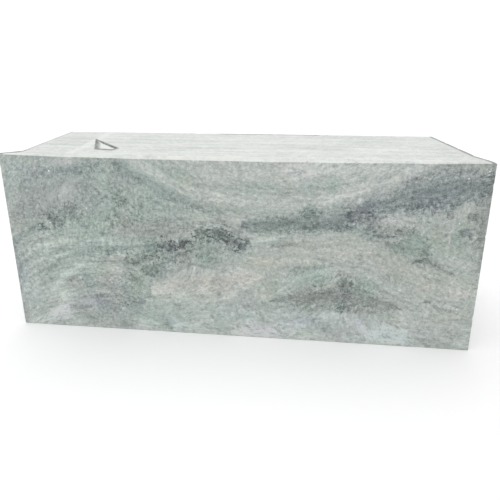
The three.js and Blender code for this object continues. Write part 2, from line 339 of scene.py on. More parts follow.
# %% The seams
SEAMS = {  # name: (paint, [(along, height, half width), ...])
    "edge of the dome": ((-0.07, -0.8, 0.0), [
        (-0.62, 0.94, 0.0), (-0.52, 0.9, 0.03), (-0.42, 0.85, 0.035), (-0.34, 0.82, 0.03),
        (-0.26, 0.785, 0.03), (-0.17, 0.755, 0.04), (-0.09, 0.73, 0.025), (-0.04, 0.71, 0.0),
    ]),
    "light band": ((0.07, 0.6, 0.0), [
        (-0.56, 0.98, 0.0), (-0.45, 0.94, 0.03), (-0.3, 0.85, 0.03), (-0.1, 0.79, 0.04), (0.1, 0.77, 0.04),
        (0.26, 0.775, 0.035), (0.43, 0.81, 0.035), (0.6, 0.85, 0.03), (0.72, 0.9, 0.03),
        (0.85, 0.95, 0.025), (1.0, 0.98, 0.0),
    ]),
    "climbing seam": ((-0.2, -1.0, 0.0), [
        (0.03, 0.65, 0.0), (0.1, 0.65, 0.04), (0.2, 0.655, 0.045), (0.3, 0.665, 0.05), (0.38, 0.68, 0.065),
        (0.47, 0.69, 0.06), (0.57, 0.715, 0.06), (0.66, 0.755, 0.05), (0.76, 0.795, 0.055),
        (0.86, 0.825, 0.085), (1.0, 0.845, 0.085), (1.1, 0.865, 0.07), (1.2, 0.89, 0.05),
    ]),
    "blue of the climbing seam": ((0.0, 0.6, 1.4), [
        (0.4, 0.69, 0.0), (0.56, 0.71, 0.06), (0.7, 0.775, 0.07), (0.85, 0.825, 0.09), (1.0, 0.845, 0.1),
        (1.12, 0.875, 0.08), (1.2, 0.89, 0.06),
    ]),
    "foot of the climbing seam": ((-0.12, -1.2, 0.2), [
        (0.33, 0.62, 0.0), (0.38, 0.64, 0.022), (0.48, 0.648, 0.016), (0.58, 0.655, 0.022),
        (0.66, 0.64, 0.028), (0.72, 0.63, 0.016), (0.8, 0.62, 0.0),
    ]),
    "head of the tongue's roof": ((-0.1, -0.2, 0.0), [
        (-0.46, 0.33, 0.0), (-0.39, 0.345, 0.022), (-0.3, 0.375, 0.02), (-0.24, 0.4, 0.014),
        (-0.16, 0.405, 0.01), (-0.08, 0.4, 0.01), (-0.03, 0.44, 0.0),
    ]),
    "warm tongue": ((0.1, 1.35, -0.6), [
        (-0.452, 0.255, 0.0), (-0.435, 0.258, 0.035), (-0.4, 0.255, 0.052), (-0.35, 0.268, 0.07),
        (-0.25, 0.28, 0.082), (-0.12, 0.29, 0.092), (0.0, 0.315, 0.085), (0.08, 0.335, 0.05),
        (0.15, 0.36, 0.0),
    ]),
    "red heart of the tongue": ((-0.03, 0.7, -0.2), [
        (-0.38, 0.28, 0.0), (-0.3, 0.29, 0.03), (-0.15, 0.31, 0.04), (0.0, 0.345, 0.04), (0.1, 0.35, 0.03),
        (0.16, 0.36, 0.0),
    ]),
    "wake of the tongue": ((0.03, 0.7, -0.5), [
        (0.05, 0.43, 0.0), (0.14, 0.44, 0.06), (0.25, 0.49, 0.07), (0.45, 0.54, 0.07), (0.6, 0.53, 0.08),
        (0.75, 0.47, 0.07), (0.88, 0.42, 0.06), (1.0, 0.37, 0.06), (1.2, 0.35, 0.06),
    ]),
    "fin": ((-0.17, 0.6, -0.1), [
        (0.18, 0.215, 0.0), (0.28, 0.24, 0.03), (0.38, 0.26, 0.05), (0.48, 0.27, 0.06), (0.55, 0.285, 0.08),
        (0.62, 0.27, 0.07), (0.7, 0.255, 0.045), (0.77, 0.235, 0.03), (0.86, 0.2, 0.0),
    ]),
    "arc over the fin": ((0.06, -0.4, 0.1), [
        (0.18, 0.24, 0.0), (0.3, 0.335, 0.012), (0.45, 0.402, 0.014), (0.58, 0.422, 0.014),
        (0.7, 0.385, 0.012), (0.8, 0.315, 0.012), (0.88, 0.27, 0.0),
    ]),
    "dark arc over the fin": ((-0.09, -0.8, 0.0), [
        (0.26, 0.36, 0.0), (0.31, 0.4, 0.018), (0.38, 0.42, 0.02), (0.44, 0.425, 0.012), (0.52, 0.43, 0.0),
    ]),
    "streak right of the knot": ((0.12, 0.0, 0.0), [
        (0.07, 0.56, 0.0), (0.11, 0.568, 0.012), (0.18, 0.582, 0.012), (0.26, 0.6, 0.0),
    ]),
    "dark streak under it": ((-0.09, 0.6, -0.2), [
        (0.17, 0.53, 0.0), (0.23, 0.545, 0.016), (0.32, 0.545, 0.014), (0.4, 0.56, 0.0),
    ]),
    "pale sweep, lower left": ((0.06, -0.7, 0.0), [
        (-1.16, 0.06, 0.0), (-1.05, 0.17, 0.04), (-0.97, 0.26, 0.04), (-0.87, 0.35, 0.035),
        (-0.76, 0.375, 0.025), (-0.68, 0.37, 0.0),
    ]),
    "pale ripple, middle left": ((0.06, 0.1, -0.3), [
        (-1.12, 0.44, 0.0), (-1.03, 0.485, 0.02), (-0.92, 0.525, 0.022), (-0.82, 0.55, 0.018),
        (-0.72, 0.605, 0.014), (-0.66, 0.64, 0.0),
    ]),
    "dark ripple, middle left": ((-0.08, -0.6, 0.0), [
        (-1.06, 0.3, 0.0), (-1.0, 0.345, 0.02), (-0.94, 0.39, 0.022), (-0.86, 0.43, 0.018),
        (-0.74, 0.455, 0.018), (-0.62, 0.49, 0.022), (-0.5, 0.49, 0.0),
    ]),
    "green ripple, far left": ((-0.09, -1.4, 0.0), [
        (-1.2, 0.49, 0.0), (-1.14, 0.535, 0.022), (-1.07, 0.575, 0.022), (-1.0, 0.6, 0.0),
    ]),
    "streak on the right": ((-0.15, 0.4, -0.2), [
        (0.87, 0.47, 0.0), (0.9, 0.49, 0.014), (0.95, 0.485, 0.015), (1.0, 0.455, 0.014), (1.08, 0.42, 0.0),
    ]),
}
print("seams:", ", ".join(SEAMS))

# %% [markdown]
# ## Clouds
#
# Where the mud was not drawn out into seams it stayed in clumps, and where none lay the marble is pale. Both
# are clouds here. Big soft ones set the drift of tone over the whole stone, and small ones build up the dome,
# the knot, the fin and the ripples at the foot from many dabs, much as a painter marbles wood.

# %% The clouds
CLOUDS = [  # along, height, half length, half height, lean in degrees, paint
    # broad ones: the dome, the green left, the warm right, and the foot, painted lighter against its shade
    (-0.88, 0.78, 0.3, 0.25, 10, (-0.095, 0.0, 0.5)),
    (-0.47, 0.8, 0.3, 0.18, -25, (-0.04, -1.3, -0.2)),
    (-0.74, 0.62, 0.2, 0.12, 20, (-0.035, -1.5, -0.4)),
    (-0.8, 0.46, 0.34, 0.16, 15, (0.01, -1.2, -0.4)),
    (-0.42, 0.61, 0.26, 0.075, 3, (-0.07, 1.6, -0.2)),
    (-1.2, 0.36, 0.08, 0.14, 0, (-0.12, 0.6, 1.2)),
    (-1.21, 0.15, 0.03, 0.2, 0, (-0.1, 0.2, 0.4)),
    # painted light: the whole foot is lightened, against the shade that falls on it near the floor
    (0.0, 0.0, 1.3, 0.06, 0, (0.1, 0.0, 0.0)),
    (-1.16, 0.24, 0.07, 0.16, 0, (0.04, -0.6, 0.9)),
    (0.1, 0.94, 0.6, 0.1, 0, (0.05, 0.5, 0.0)),
    (0.5, 0.95, 0.28, 0.05, 5, (0.1, 0.5, 0.1)),
    (0.95, 0.55, 0.32, 0.18, 0, (-0.04, 0.0, -0.5)),
    (0.75, 0.5, 0.4, 0.16, -8, (-0.01, 0.3, 0.0)),
    (1.05, 0.22, 0.26, 0.22, 0, (0.005, 0.6, -0.2)),
    (0.35, 0.1, 0.75, 0.09, 0, (0.065, -0.2, 0.5)),
    (-0.35, 0.13, 0.26, 0.12, 0, (0.01, -1.3, -0.3)),
    (1.2, 0.7, 0.05, 0.34, 0, (-0.13, 1.2, 0.0)),
    (1.05, 0.975, 0.22, 0.05, 8, (-0.08, 0.4, 0.0)),
    # the dome
    (-0.85, 0.955, 0.09, 0.03, 0, (0.08, 0.0, 0.0)),
    (-1.04, 0.93, 0.035, 0.04, 0, (0.05, 0.0, 0.0)),
    (-0.7, 0.69, 0.03, 0.06, 0, (0.05, 0.0, 0.0)),
    (-0.66, 0.47, 0.07, 0.025, 5, (-0.07, -0.4, 0.0)),
    (-1.06, 0.46, 0.06, 0.028, 15, (-0.08, 0.0, 0.2)),
    (-1.16, 0.66, 0.04, 0.035, 0, (-0.07, 0.4, 0.0)),
    (-0.84, 0.395, 0.08, 0.018, 8, (-0.05, -0.4, 0.0)),
    (-0.87, 0.665, 0.07, 0.05, 30, (-0.1, 0.0, 0.0)),
    (-0.5, 0.935, 0.08, 0.03, -15, (0.06, 0.2, 0.0)),
    (-0.35, 0.86, 0.05, 0.022, -25, (0.06, 0.2, 0.0)),
    (-0.8, 0.825, 0.06, 0.025, 20, (0.04, 0.0, 0.0)),
    (-1.115, 0.76, 0.035, 0.04, 20, (0.06, 0.6, 0.0)),
    (-0.41, 0.755, 0.08, 0.035, 0, (-0.07, -0.4, 0.0)),
    (-0.19, 0.755, 0.035, 0.035, 0, (-0.07, 0.9, 0.0)),
    (-0.87, 0.8, 0.095, 0.03, 35, (0.13, 0.1, 0.3)),
    (-0.94, 0.845, 0.05, 0.025, 10, (0.07, 0.0, 0.2)),
    (-1.0, 0.905, 0.07, 0.03, 0, (-0.06, 0.2, 1.0)),
    (-1.12, 0.88, 0.07, 0.07, 30, (0.03, -1.2, 0.0)),
    (-1.09, 0.8, 0.025, 0.13, -15, (-0.05, -0.8, 0.0)),
    (-0.8, 0.92, 0.12, 0.035, 0, (-0.07, -1.4, 0.2)),
    (-0.86, 0.955, 0.07, 0.02, 5, (0.01, 1.5, 0.2)),
    (-0.855, 0.705, 0.042, 0.03, 50, (-0.12, 0.2, 0.3)),
    (-0.94, 0.645, 0.06, 0.032, -35, (-0.13, 0.2, 0.2)),
    (-1.03, 0.68, 0.03, 0.09, 10, (-0.07, 0.2, 0.4)),
    (-0.66, 0.86, 0.045, 0.06, 10, (0.07, -1.0, -0.4)),
    (-0.57, 0.945, 0.05, 0.02, -20, (-0.05, -0.8, 0.3)),
    (-0.54, 0.855, 0.07, 0.045, 0, (-0.02, 0.9, 0.5)),
    (-0.565, 0.755, 0.035, 0.045, 20, (-0.11, -0.8, -0.4)),
    (-0.65, 0.735, 0.045, 0.03, 10, (0.05, -0.4, -0.2)),
    (-0.745, 0.65, 0.03, 0.03, 0, (0.02, -0.8, -1.2)),
    (-0.5, 0.672, 0.05, 0.028, -10, (-0.1, -2.2, -0.2)),
    (-0.56, 0.56, 0.055, 0.022, 10, (0.08, 0.6, -0.2)),
    (-1.015, 0.595, 0.045, 0.028, 0, (-0.12, -1.2, 0.0)),
    (-0.975, 0.622, 0.022, 0.012, 30, (0.16, 0.0, 0.3)),
    # the foot at the left
    (-0.9, 0.13, 0.08, 0.06, 10, (0.04, 0.0, 0.0)),
    (-1.0, 0.29, 0.04, 0.025, 30, (0.05, -0.6, 0.0)),
    (-0.47, 0.235, 0.02, 0.04, -10, (-0.08, -0.6, 0.0)),
    (-0.84, 0.275, 0.025, 0.02, 0, (-0.06, 0.0, 0.3)),
    (-0.75, 0.21, 0.03, 0.04, 0, (-0.06, 0.2, 0.4)),
    (-0.97, 0.085, 0.08, 0.055, 20, (0.17, 0.3, 0.8)),
    (-1.1, 0.02, 0.08, 0.04, 0, (0.1, -0.4, 0.2)),
    (-0.93, 0.125, 0.03, 0.035, 0, (0.03, 0.3, 1.2)),
    (-0.93, 0.19, 0.06, 0.035, 25, (0.12, -1.0, -0.2)),
    (-0.8, 0.165, 0.1, 0.05, 0, (-0.02, 0.7, 1.7)),
    (-0.855, 0.12, 0.06, 0.025, 15, (-0.15, 0.3, 0.8)),
    (-0.69, 0.16, 0.08, 0.09, 15, (-0.1, 0.2, 0.8)),
    (-0.62, 0.03, 0.05, 0.04, 20, (-0.12, -0.8, 0.1)),
    (-0.8, 0.3, 0.035, 0.04, 0, (-0.12, -1.0, 0.4)),
    (-0.88, 0.27, 0.055, 0.035, 20, (-0.08, 1.6, -0.3)),
    (-0.7, 0.3, 0.05, 0.05, 40, (-0.11, 1.6, -0.4)),
    (-0.64, 0.36, 0.07, 0.04, 0, (0.03, 1.1, -0.2)),
    (-0.64, 0.43, 0.08, 0.028, 5, (-0.08, 1.8, -0.1)),
    (-0.53, 0.29, 0.048, 0.08, -5, (-0.09, -1.6, -1.4)),
    (-0.48, 0.345, 0.04, 0.04, 0, (-0.1, -2.0, -0.7)),
    (-0.535, 0.185, 0.045, 0.03, 0, (-0.12, 0.4, 0.6)),
    (-0.6, 0.235, 0.035, 0.07, 0, (-0.11, -0.8, 0.5)),
    (-0.57, 0.39, 0.035, 0.07, 0, (-0.12, 0.3, -0.3)),
    (-0.66, 0.25, 0.04, 0.05, 0, (-0.08, 0.2, 0.4)),
    (-0.57, 0.14, 0.06, 0.06, 0, (-0.07, -0.6, 0.2)),
    (-0.82, 0.06, 0.06, 0.035, 0, (-0.09, -0.2, 0.2)),
    (-0.38, 0.04, 0.035, 0.035, 0, (-0.13, -0.8, 0.3)),
    (-0.33, 0.055, 0.035, 0.04, 0, (0.09, -0.8, 0.6)),
    (-0.5, 0.07, 0.09, 0.05, 0, (0.09, -0.9, -0.2)),
    # round the knot
    (-0.31, 0.49, 0.03, 0.08, 10, (-0.09, 0.2, 0.2)),
    (-0.24, 0.62, 0.04, 0.03, 0, (-0.06, 0.4, 0.0)),
    (0.005, 0.6, 0.04, 0.03, 0, (-0.09, 0.0, 0.4)),
    (-0.005, 0.505, 0.025, 0.016, 0, (-0.12, 0.0, 0.3)),
    (-0.23, 0.37, 0.04, 0.022, 15, (0.08, 0.6, -0.2)),
    (-0.07, 0.405, 0.04, 0.02, 5, (0.07, 0.6, -0.2)),
    (-0.44, 0.495, 0.065, 0.055, 10, (-0.22, -2.2, -0.4)),
    (-0.35, 0.51, 0.06, 0.045, 0, (-0.24, 0.3, 0.7)),
    (-0.255, 0.53, 0.055, 0.03, 18, (-0.32, 0.8, -0.1)),
    (-0.255, 0.46, 0.05, 0.045, 0, (-0.15, 1.2, -0.3)),
    (-0.35, 0.43, 0.08, 0.035, 10, (-0.12, -0.8, -0.2)),
    (-0.41, 0.38, 0.085, 0.04, 20, (-0.2, -0.8, -0.3)),
    (-0.5, 0.43, 0.08, 0.045, 10, (-0.17, -0.3, -0.2)),
    (-0.17, 0.59, 0.045, 0.045, 20, (-0.21, -1.6, -0.2)),
    (-0.085, 0.59, 0.06, 0.045, 10, (-0.3, -1.2, 0.0)),
    (-0.02, 0.56, 0.05, 0.045, -20, (-0.24, 0.1, 0.9)),
    (0.03, 0.53, 0.045, 0.03, 25, (-0.3, 0.0, 1.0)),
    (0.06, 0.56, 0.025, 0.018, -25, (-0.16, -0.2, 0.4)),
    (0.04, 0.628, 0.028, 0.016, 0, (-0.12, 1.2, 0.8)),
    (-0.06, 0.665, 0.05, 0.016, -35, (-0.12, 1.6, -0.3)),
    (0.0, 0.675, 0.05, 0.018, -10, (0.09, 1.2, -0.2)),
    (-0.18, 0.67, 0.045, 0.018, 10, (0.07, 0.0, -1.6)),
    (-0.16, 0.51, 0.1, 0.055, 0, (-0.11, -1.4, -0.2)),
    (-0.15, 0.45, 0.045, 0.03, 0, (-0.1, -2.2, -0.2)),
    (-0.085, 0.79, 0.035, 0.022, 0, (0.02, 0.6, -0.7)),
    # over the climbing seam, and in it
    (0.64, 0.945, 0.07, 0.025, 0, (0.06, 0.4, 0.1)),
    (0.13, 0.69, 0.08, 0.025, 0, (0.07, 0.0, 0.0)),
    (0.61, 0.785, 0.025, 0.025, 0, (0.08, 0.0, 0.0)),
    (1.02, 0.91, 0.08, 0.02, 5, (0.06, 0.0, 0.0)),
    (0.78, 0.655, 0.12, 0.03, 0, (-0.06, 0.2, 0.0)),
    (0.93, 0.755, 0.06, 0.022, 8, (-0.07, 0.2, 0.2)),
    (0.69, 0.76, 0.035, 0.022, 20, (-0.06, 0.0, 0.4)),
    (0.35, 0.765, 0.02, 0.025, 0, (-0.06, -0.8, 0.0)),
    (0.88, 0.85, 0.06, 0.03, 20, (0.05, 0.0, 0.0)),
    (0.475, 0.875, 0.035, 0.045, 0, (-0.08, -2.0, -0.2)),
    (0.13, 0.85, 0.1, 0.03, 0, (-0.04, -1.5, -0.2)),
    (0.37, 0.86, 0.05, 0.03, 0, (-0.03, -1.2, -0.1)),
    (-0.28, 0.9, 0.04, 0.03, 0, (-0.03, -1.4, -0.2)),
    (-0.25, 0.87, 0.045, 0.035, 0, (0.0, -0.2, -1.6)),
    (0.37, 0.735, 0.045, 0.04, 0, (-0.13, -1.8, -0.3)),
    (0.475, 0.715, 0.05, 0.025, 0, (0.08, 0.8, 0.6)),
    (0.572, 0.715, 0.022, 0.04, 0, (-0.2, 0.2, 0.8)),
    (0.64, 0.76, 0.05, 0.028, 15, (-0.1, 0.4, 1.4)),
    (0.885, 0.845, 0.09, 0.03, 20, (-0.06, 0.0, 0.0)),
    (0.86, 0.905, 0.06, 0.02, 10, (-0.03, 2.0, 0.6)),
    (0.89, 0.78, 0.13, 0.022, 8, (-0.1, 0.2, 0.6)),
    (0.975, 0.785, 0.05, 0.03, 20, (-0.03, 0.6, 1.2)),
    # under it, on the right
    (0.255, 0.55, 0.06, 0.035, 0, (-0.06, 0.4, -0.2)),
    (0.74, 0.59, 0.05, 0.02, -10, (-0.06, 0.4, 0.0)),
    (0.68, 0.7, 0.06, 0.045, 15, (-0.16, 0.5, 0.7)),
    (0.78, 0.71, 0.08, 0.022, 0, (0.08, 1.2, 0.4)),
    (0.82, 0.65, 0.06, 0.022, 5, (-0.09, 0.6, -0.7)),
    (0.87, 0.575, 0.09, 0.08, -15, (-0.06, -2.6, -0.2)),
    (0.8, 0.555, 0.045, 0.04, -20, (-0.1, -1.2, -0.2)),
    (0.925, 0.53, 0.032, 0.045, 10, (-0.09, -0.4, -0.2)),
    (0.875, 0.585, 0.028, 0.025, 0, (0.07, -0.4, 0.4)),
    (1.042, 0.615, 0.01, 0.065, -14, (0.12, 0.6, -0.2)),
    (0.99, 0.62, 0.035, 0.06, 0, (0.0, 0.0, -1.2)),
    (1.08, 0.62, 0.03, 0.08, 0, (-0.03, -1.8, -0.2)),
    (1.115, 0.645, 0.03, 0.022, -30, (-0.18, -0.2, 1.0)),
    (1.135, 0.735, 0.025, 0.018, 0, (-0.18, 0.6, 0.0)),
    (1.03, 0.735, 0.018, 0.018, 0, (-0.12, 0.8, 0.0)),
    (1.1, 0.765, 0.06, 0.028, 10, (0.06, 1.2, -0.3)),
    (1.09, 0.475, 0.08, 0.028, -10, (0.08, 0.9, 0.0)),
    (0.93, 0.44, 0.07, 0.018, -10, (0.05, 0.3, 0.2)),
    (0.64, 0.48, 0.022, 0.012, 0, (-0.08, 2.2, -0.4)),
    # the fin and what lies round it
    (0.36, 0.27, 0.04, 0.03, 0, (0.07, 0.0, 0.0)),
    (0.52, 0.32, 0.05, 0.035, 0, (0.05, 0.0, 0.0)),
    (0.64, 0.3, 0.04, 0.022, -20, (0.05, 0.0, 0.0)),
    (0.12, 0.24, 0.12, 0.025, 5, (0.04, 0.0, 0.0)),
    (-0.19, 0.3, 0.03, 0.03, 0, (-0.05, 0.0, 0.0)),
    (0.9, 0.47, 0.05, 0.022, -10, (-0.05, 0.0, 0.0)),
    (0.4, 0.375, 0.11, 0.045, 8, (-0.03, -1.9, 0.0)),
    (0.44, 0.355, 0.03, 0.025, 0, (-0.06, -1.6, -0.4)),
    (0.555, 0.345, 0.032, 0.042, 15, (-0.14, -0.2, 0.5)),
    (0.55, 0.395, 0.03, 0.014, 0, (-0.04, 1.6, 0.8)),
    (0.43, 0.27, 0.13, 0.045, 5, (-0.05, 1.4, -0.3)),
    (0.575, 0.26, 0.018, 0.05, 0, (-0.08, 0.6, 0.0)),
    (0.66, 0.32, 0.07, 0.06, -30, (-0.03, -2.0, -0.2)),
    (0.56, 0.205, 0.04, 0.035, 0, (-0.12, -1.8, -0.4)),
    (0.64, 0.185, 0.09, 0.03, 0, (-0.09, 1.0, 0.4)),
    (0.745, 0.225, 0.028, 0.022, 0, (0.09, 0.6, 0.6)),
    (0.81, 0.235, 0.03, 0.03, -20, (-0.06, 0.8, 0.5)),
    (0.05, 0.25, 0.055, 0.055, 0, (-0.06, 0.2, 0.4)),
    (0.16, 0.27, 0.05, 0.06, 0, (0.0, 0.5, -1.4)),
    (0.14, 0.45, 0.11, 0.04, 0, (-0.02, 0.4, -1.6)),
    (-0.087, 0.262, 0.014, 0.012, 0, (-0.26, 0.0, -0.3)),
    (-0.19, 0.225, 0.05, 0.012, 10, (-0.1, 0.4, -0.6)),
    (0.95, 0.35, 0.035, 0.035, 0, (0.02, 1.1, -0.3)),
    (1.12, 0.33, 0.06, 0.022, 0, (0.02, 1.1, -0.1)),
    (0.98, 0.265, 0.018, 0.01, 0, (-0.2, -0.6, 0.0)),
    (1.05, 0.235, 0.06, 0.012, -15, (-0.08, 0.0, 0.0)),
    # the foot in the middle and at the right
    (0.49, 0.14, 0.07, 0.025, 0, (0.07, 0.0, 0.0)),
    (-0.18, 0.07, 0.08, 0.05, 0, (0.04, 0.0, 0.0)),
    (0.68, 0.175, 0.04, 0.022, 0, (-0.05, 0.2, 0.0)),
    (0.25, 0.195, 0.05, 0.015, 0, (-0.05, 0.2, 0.0)),
    (0.45, 0.19, 0.26, 0.018, 0, (-0.06, 0.4, 0.0)),
    (1.12, 0.08, 0.045, 0.035, 0, (-0.09, 0.4, 0.0)),
    (0.83, 0.035, 0.13, 0.03, 0, (0.05, -0.6, 0.2)),
    (0.11, 0.045, 0.14, 0.045, 0, (0.07, 1.1, 0.8)),
    (-0.04, 0.035, 0.03, 0.022, 0, (-0.1, 0.4, 0.4)),
    (0.08, 0.13, 0.06, 0.028, 0, (0.0, -1.8, -0.2)),
    (-0.285, 0.15, 0.035, 0.03, 0, (-0.02, 1.0, 0.8)),
    (0.36, 0.115, 0.09, 0.035, 5, (-0.02, 0.5, 1.6)),
    (0.415, 0.115, 0.025, 0.018, 0, (-0.12, 0.4, 1.2)),
    (0.48, 0.07, 0.045, 0.03, 0, (-0.11, -0.6, 0.6)),
    (0.55, 0.03, 0.025, 0.025, 0, (-0.1, 1.4, 0.8)),
    (0.65, 0.13, 0.04, 0.03, 0, (0.02, 0.4, 1.8)),
    (0.8, 0.07, 0.12, 0.05, -5, (0.09, -1.4, 0.6)),
    (0.385, 0.195, 0.028, 0.028, 0, (-0.06, -1.8, -1.4)),
    # over the front, where only the top cuts them
    (-0.835, 1.12, 0.032, 0.16, 0, (0.2, 0.4, 0.0)),
    (-0.98, 1.13, 0.14, 0.07, 10, (-0.12, 0.0, 0.4)),
    (-0.56, 1.15, 0.08, 0.06, 0, (-0.09, -0.6, 0.0)),
    (-0.2, 1.06, 0.24, 0.022, 3, (-0.09, -0.4, 0.0)),
    (0.1, 1.14, 0.3, 0.03, -2, (0.06, 0.6, 0.0)),
    (0.35, 1.08, 0.26, 0.018, -3, (-0.08, -0.4, 0.0)),
    (0.85, 1.15, 0.2, 0.045, 0, (-0.13, -0.2, 0.2)),
    (0.72, 1.075, 0.16, 0.022, 3, (0.07, 0.4, 0.0)),
    (1.12, 1.08, 0.12, 0.06, 0, (-0.08, -0.2, 0.2)),
]
print(f"clouds: {len(CLOUDS)}, the longest {2 * max(cloud[2] for cloud in CLOUDS):.1f} m and the shortest "
      f"{2000 * min(cloud[2] for cloud in CLOUDS):.0f} mm long")

# %% [markdown]
# ## Adding the paints up
#
# One node group holds all the seams and clouds. For each of them it makes a mask that is 1 in the middle and
# fades out at the edge, and adds the paint times the mask to three running totals. The edge is moved in and
# out by the same noise that makes the crystals, so that every edge follows the grain of the stone.
#
# For a cloud, the space round it is turned and squeezed until the cloud is a ball of radius one, and a
# spherical gradient gives the distance from its middle. Each mask is used up as soon as it is made. That
# matters, because the renderer keeps only so many unfinished numbers at once and this group has hundreds.

# %% How a paint is laid
CLOUD_DEPTH = 0.8  # a cloud runs this far in behind the front
WIDEST = 0.3  # the curves hold half widths up to this
REACH = 3.0  # a cloud is looked for this many times its own size away
SEAM_EDGE, CLOUD_EDGE = 1.5, 1.4  # a paint is gone this many times its half width out
SOLID = 0.2  # and in full strength inside this
THINNEST = 0.0005  # half width of a seam where it has run out

paints, given, made = new_group("seams_and_clouds", {"Place": (VECTOR, None), "Ragged": (NUMBER, 0.0)},
                                {"Tone": NUMBER, "Warm": NUMBER, "Blue": NUMBER})
parts = add_node(paints, "ShaderNodeSeparateXYZ", {0: given["Place"]}).outputs
x_share = calc(paints, "MULTIPLY_ADD", parts["X"], 1 / LENGTH, 0.5)
totals = {"Tone": 0.0, "Warm": -0.15, "Blue": -0.2}


def limits(outer, inner, scale, start):
    """The outer and inner limit of a paint, both moved by how ragged its edge is here."""
    places = [start - scale * limit for limit in (outer, inner)]
    return [calc(paints, "MULTIPLY_ADD", given["Ragged"], scale, place) for place in places]


def add_paint(reach, edges, paint):
    """Adds a paint to the totals, in full past the inner limit and fading to nothing at the outer one."""
    mask = step(paints, reach, *edges)
    for name, amount in zip(totals, paint):
        if amount:
            totals[name] = calc(paints, "MULTIPLY_ADD", mask, amount, totals[name])


print("paints add to:", ", ".join(totals))

# %% The paints, added up
edges = limits(SEAM_EDGE, SOLID, -1.0, 0.0)
for paint, path in SEAMS.values():
    middle = curve(paints, x_share, [(along(x), z) for x, z, _ in path])
    half = curve(paints, x_share, [(along(x), half / WIDEST) for x, _, half in path])
    half = calc(paints, "MAXIMUM", calc(paints, "MULTIPLY", half, WIDEST), THINNEST)
    off = calc(paints, "ABSOLUTE", calc(paints, "SUBTRACT", parts["Z"], middle))
    add_paint(calc(paints, "DIVIDE", off, half), edges, paint)

# Across a cloud, a ball of shade falls from 1 in its middle to 0 at REACH times its size.
edges = limits(CLOUD_EDGE, SOLID, 1.0 / REACH, 1.0)
behind = calc(paints, "MULTIPLY_ADD", parts["Y"], 1 / CLOUD_DEPTH, -FRONT / CLOUD_DEPTH)
spot = add_node(paints, "ShaderNodeCombineXYZ", {"X": parts["X"], "Y": behind, "Z": parts["Z"]}).outputs[0]
for x, z, half_length, half_height, lean, paint in CLOUDS:
    inputs = {"Vector": spot, "Location": (x, 0.0, z), "Rotation": (0.0, math.radians(-lean), 0.0),
              "Scale": (REACH * half_length, REACH, REACH * half_height)}
    oval = add_node(paints, "ShaderNodeMapping", inputs, vector_type="TEXTURE").outputs[0]
    ball = add_node(paints, "ShaderNodeTexGradient", {"Vector": oval}, gradient_type="SPHERICAL")
    add_paint(ball.outputs["Fac"], edges, paint)
for name, total in totals.items():
    paints.links.new(total, made[name])
print(f"pattern: {len(SEAMS)} seams and {len(CLOUDS)} clouds in {len(paints.nodes)} nodes")

# %% [markdown]
# ## The crystals between
#
# Between the seams the stone is never one tone. Along the beds run streaks, crystals of all sizes make it
# mottled, dark grains thicken wherever it is dark already, and thin dark threads wind through the seams.
# Each is a noise with a scale of its own, and each adds to or takes from one number, the tone. Noise alone
# would give marble of no particular block, which is why the seams and clouds were placed first.

# %% The tone of the marble
BASE_TONE = 0.77
CHURNED = {"Location": (-0.85, FRONT, 0.42), "Scale": (0.45, CLOUD_DEPTH, 0.26)}  # streaks are strong here

marble, given, made = new_group(
    "marble", {"Place": (VECTOR, None), "Contrast": (NUMBER, 1.0), "Lift": (NUMBER, 0.0)},
    {"Color": COLOR, "Tone": NUMBER, "Glint": NUMBER})
bedded = add_node(marble, "ShaderNodeGroup", {"Place": given["Place"]}, node_tree=beds)
place, flat = bedded.outputs["Place"], bedded.outputs["Flat"]
short = calc_vector(marble, "MULTIPLY", bedded.outputs["Level"], (1.0, 1.0, 2.0))
patches = noise(marble, place, 7.0, detail=3.0, roughness=0.6)
mottle = noise(marble, given["Place"], 50.0, detail=3.0, roughness=0.9)
streaks = noise(marble, flat, 11.0, detail=2.0, roughness=0.6).outputs["Fac"]
dabs = noise(marble, short, 30.0, detail=3.0, roughness=0.85).outputs["Fac"]
threads = noise(marble, flat, 15.0, detail=3.0, roughness=0.65, distortion=0.5).outputs["Fac"]
grains = noise(marble, given["Place"], 150.0, detail=2.0, roughness=0.6).outputs["Fac"]


def swing(value, amount, start):
    """Adds a noise that swings both ways about its middle."""
    return calc(marble, "MULTIPLY_ADD", calc(marble, "SUBTRACT", value, 0.5), amount, start)


ragged = swing(mottle.outputs["Fac"], 2.2, swing(dabs, 2.4, 0.0))
paint = add_node(marble, "ShaderNodeGroup", {"Place": place, "Ragged": ragged}, node_tree=paints).outputs
strength = swing(patches.outputs["Fac"], 1.4, 1.14)
tone = calc(marble, "MULTIPLY_ADD", paint["Tone"], strength, BASE_TONE)
tone = swing(patches.outputs["Fac"], 0.12, tone)
dark = step(marble, tone, BASE_TONE - 0.04, BASE_TONE - 0.30)

inputs = {"Vector": place, **CHURNED}
churned = add_node(marble, "ShaderNodeMapping", inputs, vector_type="TEXTURE").outputs[0]
churned = add_node(marble, "ShaderNodeVectorMath", {0: churned}, operation="LENGTH").outputs["Value"]
tone = swing(streaks, step(marble, churned, 1.3, 0.5, 0.34, 0.62), tone)
tone = swing(mottle.outputs["Fac"], 0.90, tone)
dab = step(marble, dabs, 0.50, 0.70)
tone = calc(marble, "MULTIPLY_ADD", dab, calc(marble, "MULTIPLY_ADD", dark, -0.06, -0.14), tone)
speck = step(marble, grains, 0.54, 0.72)
tone = calc(marble, "MULTIPLY_ADD", speck, calc(marble, "MULTIPLY_ADD", dark, -0.10, -0.05), tone)
line = step(marble, calc(marble, "ABSOLUTE", calc(marble, "SUBTRACT", threads, 0.5)), 0.03, 0.0)
tone = calc(marble, "MULTIPLY_ADD", line, calc(marble, "MULTIPLY_ADD", dark, -0.10, -0.045), tone)

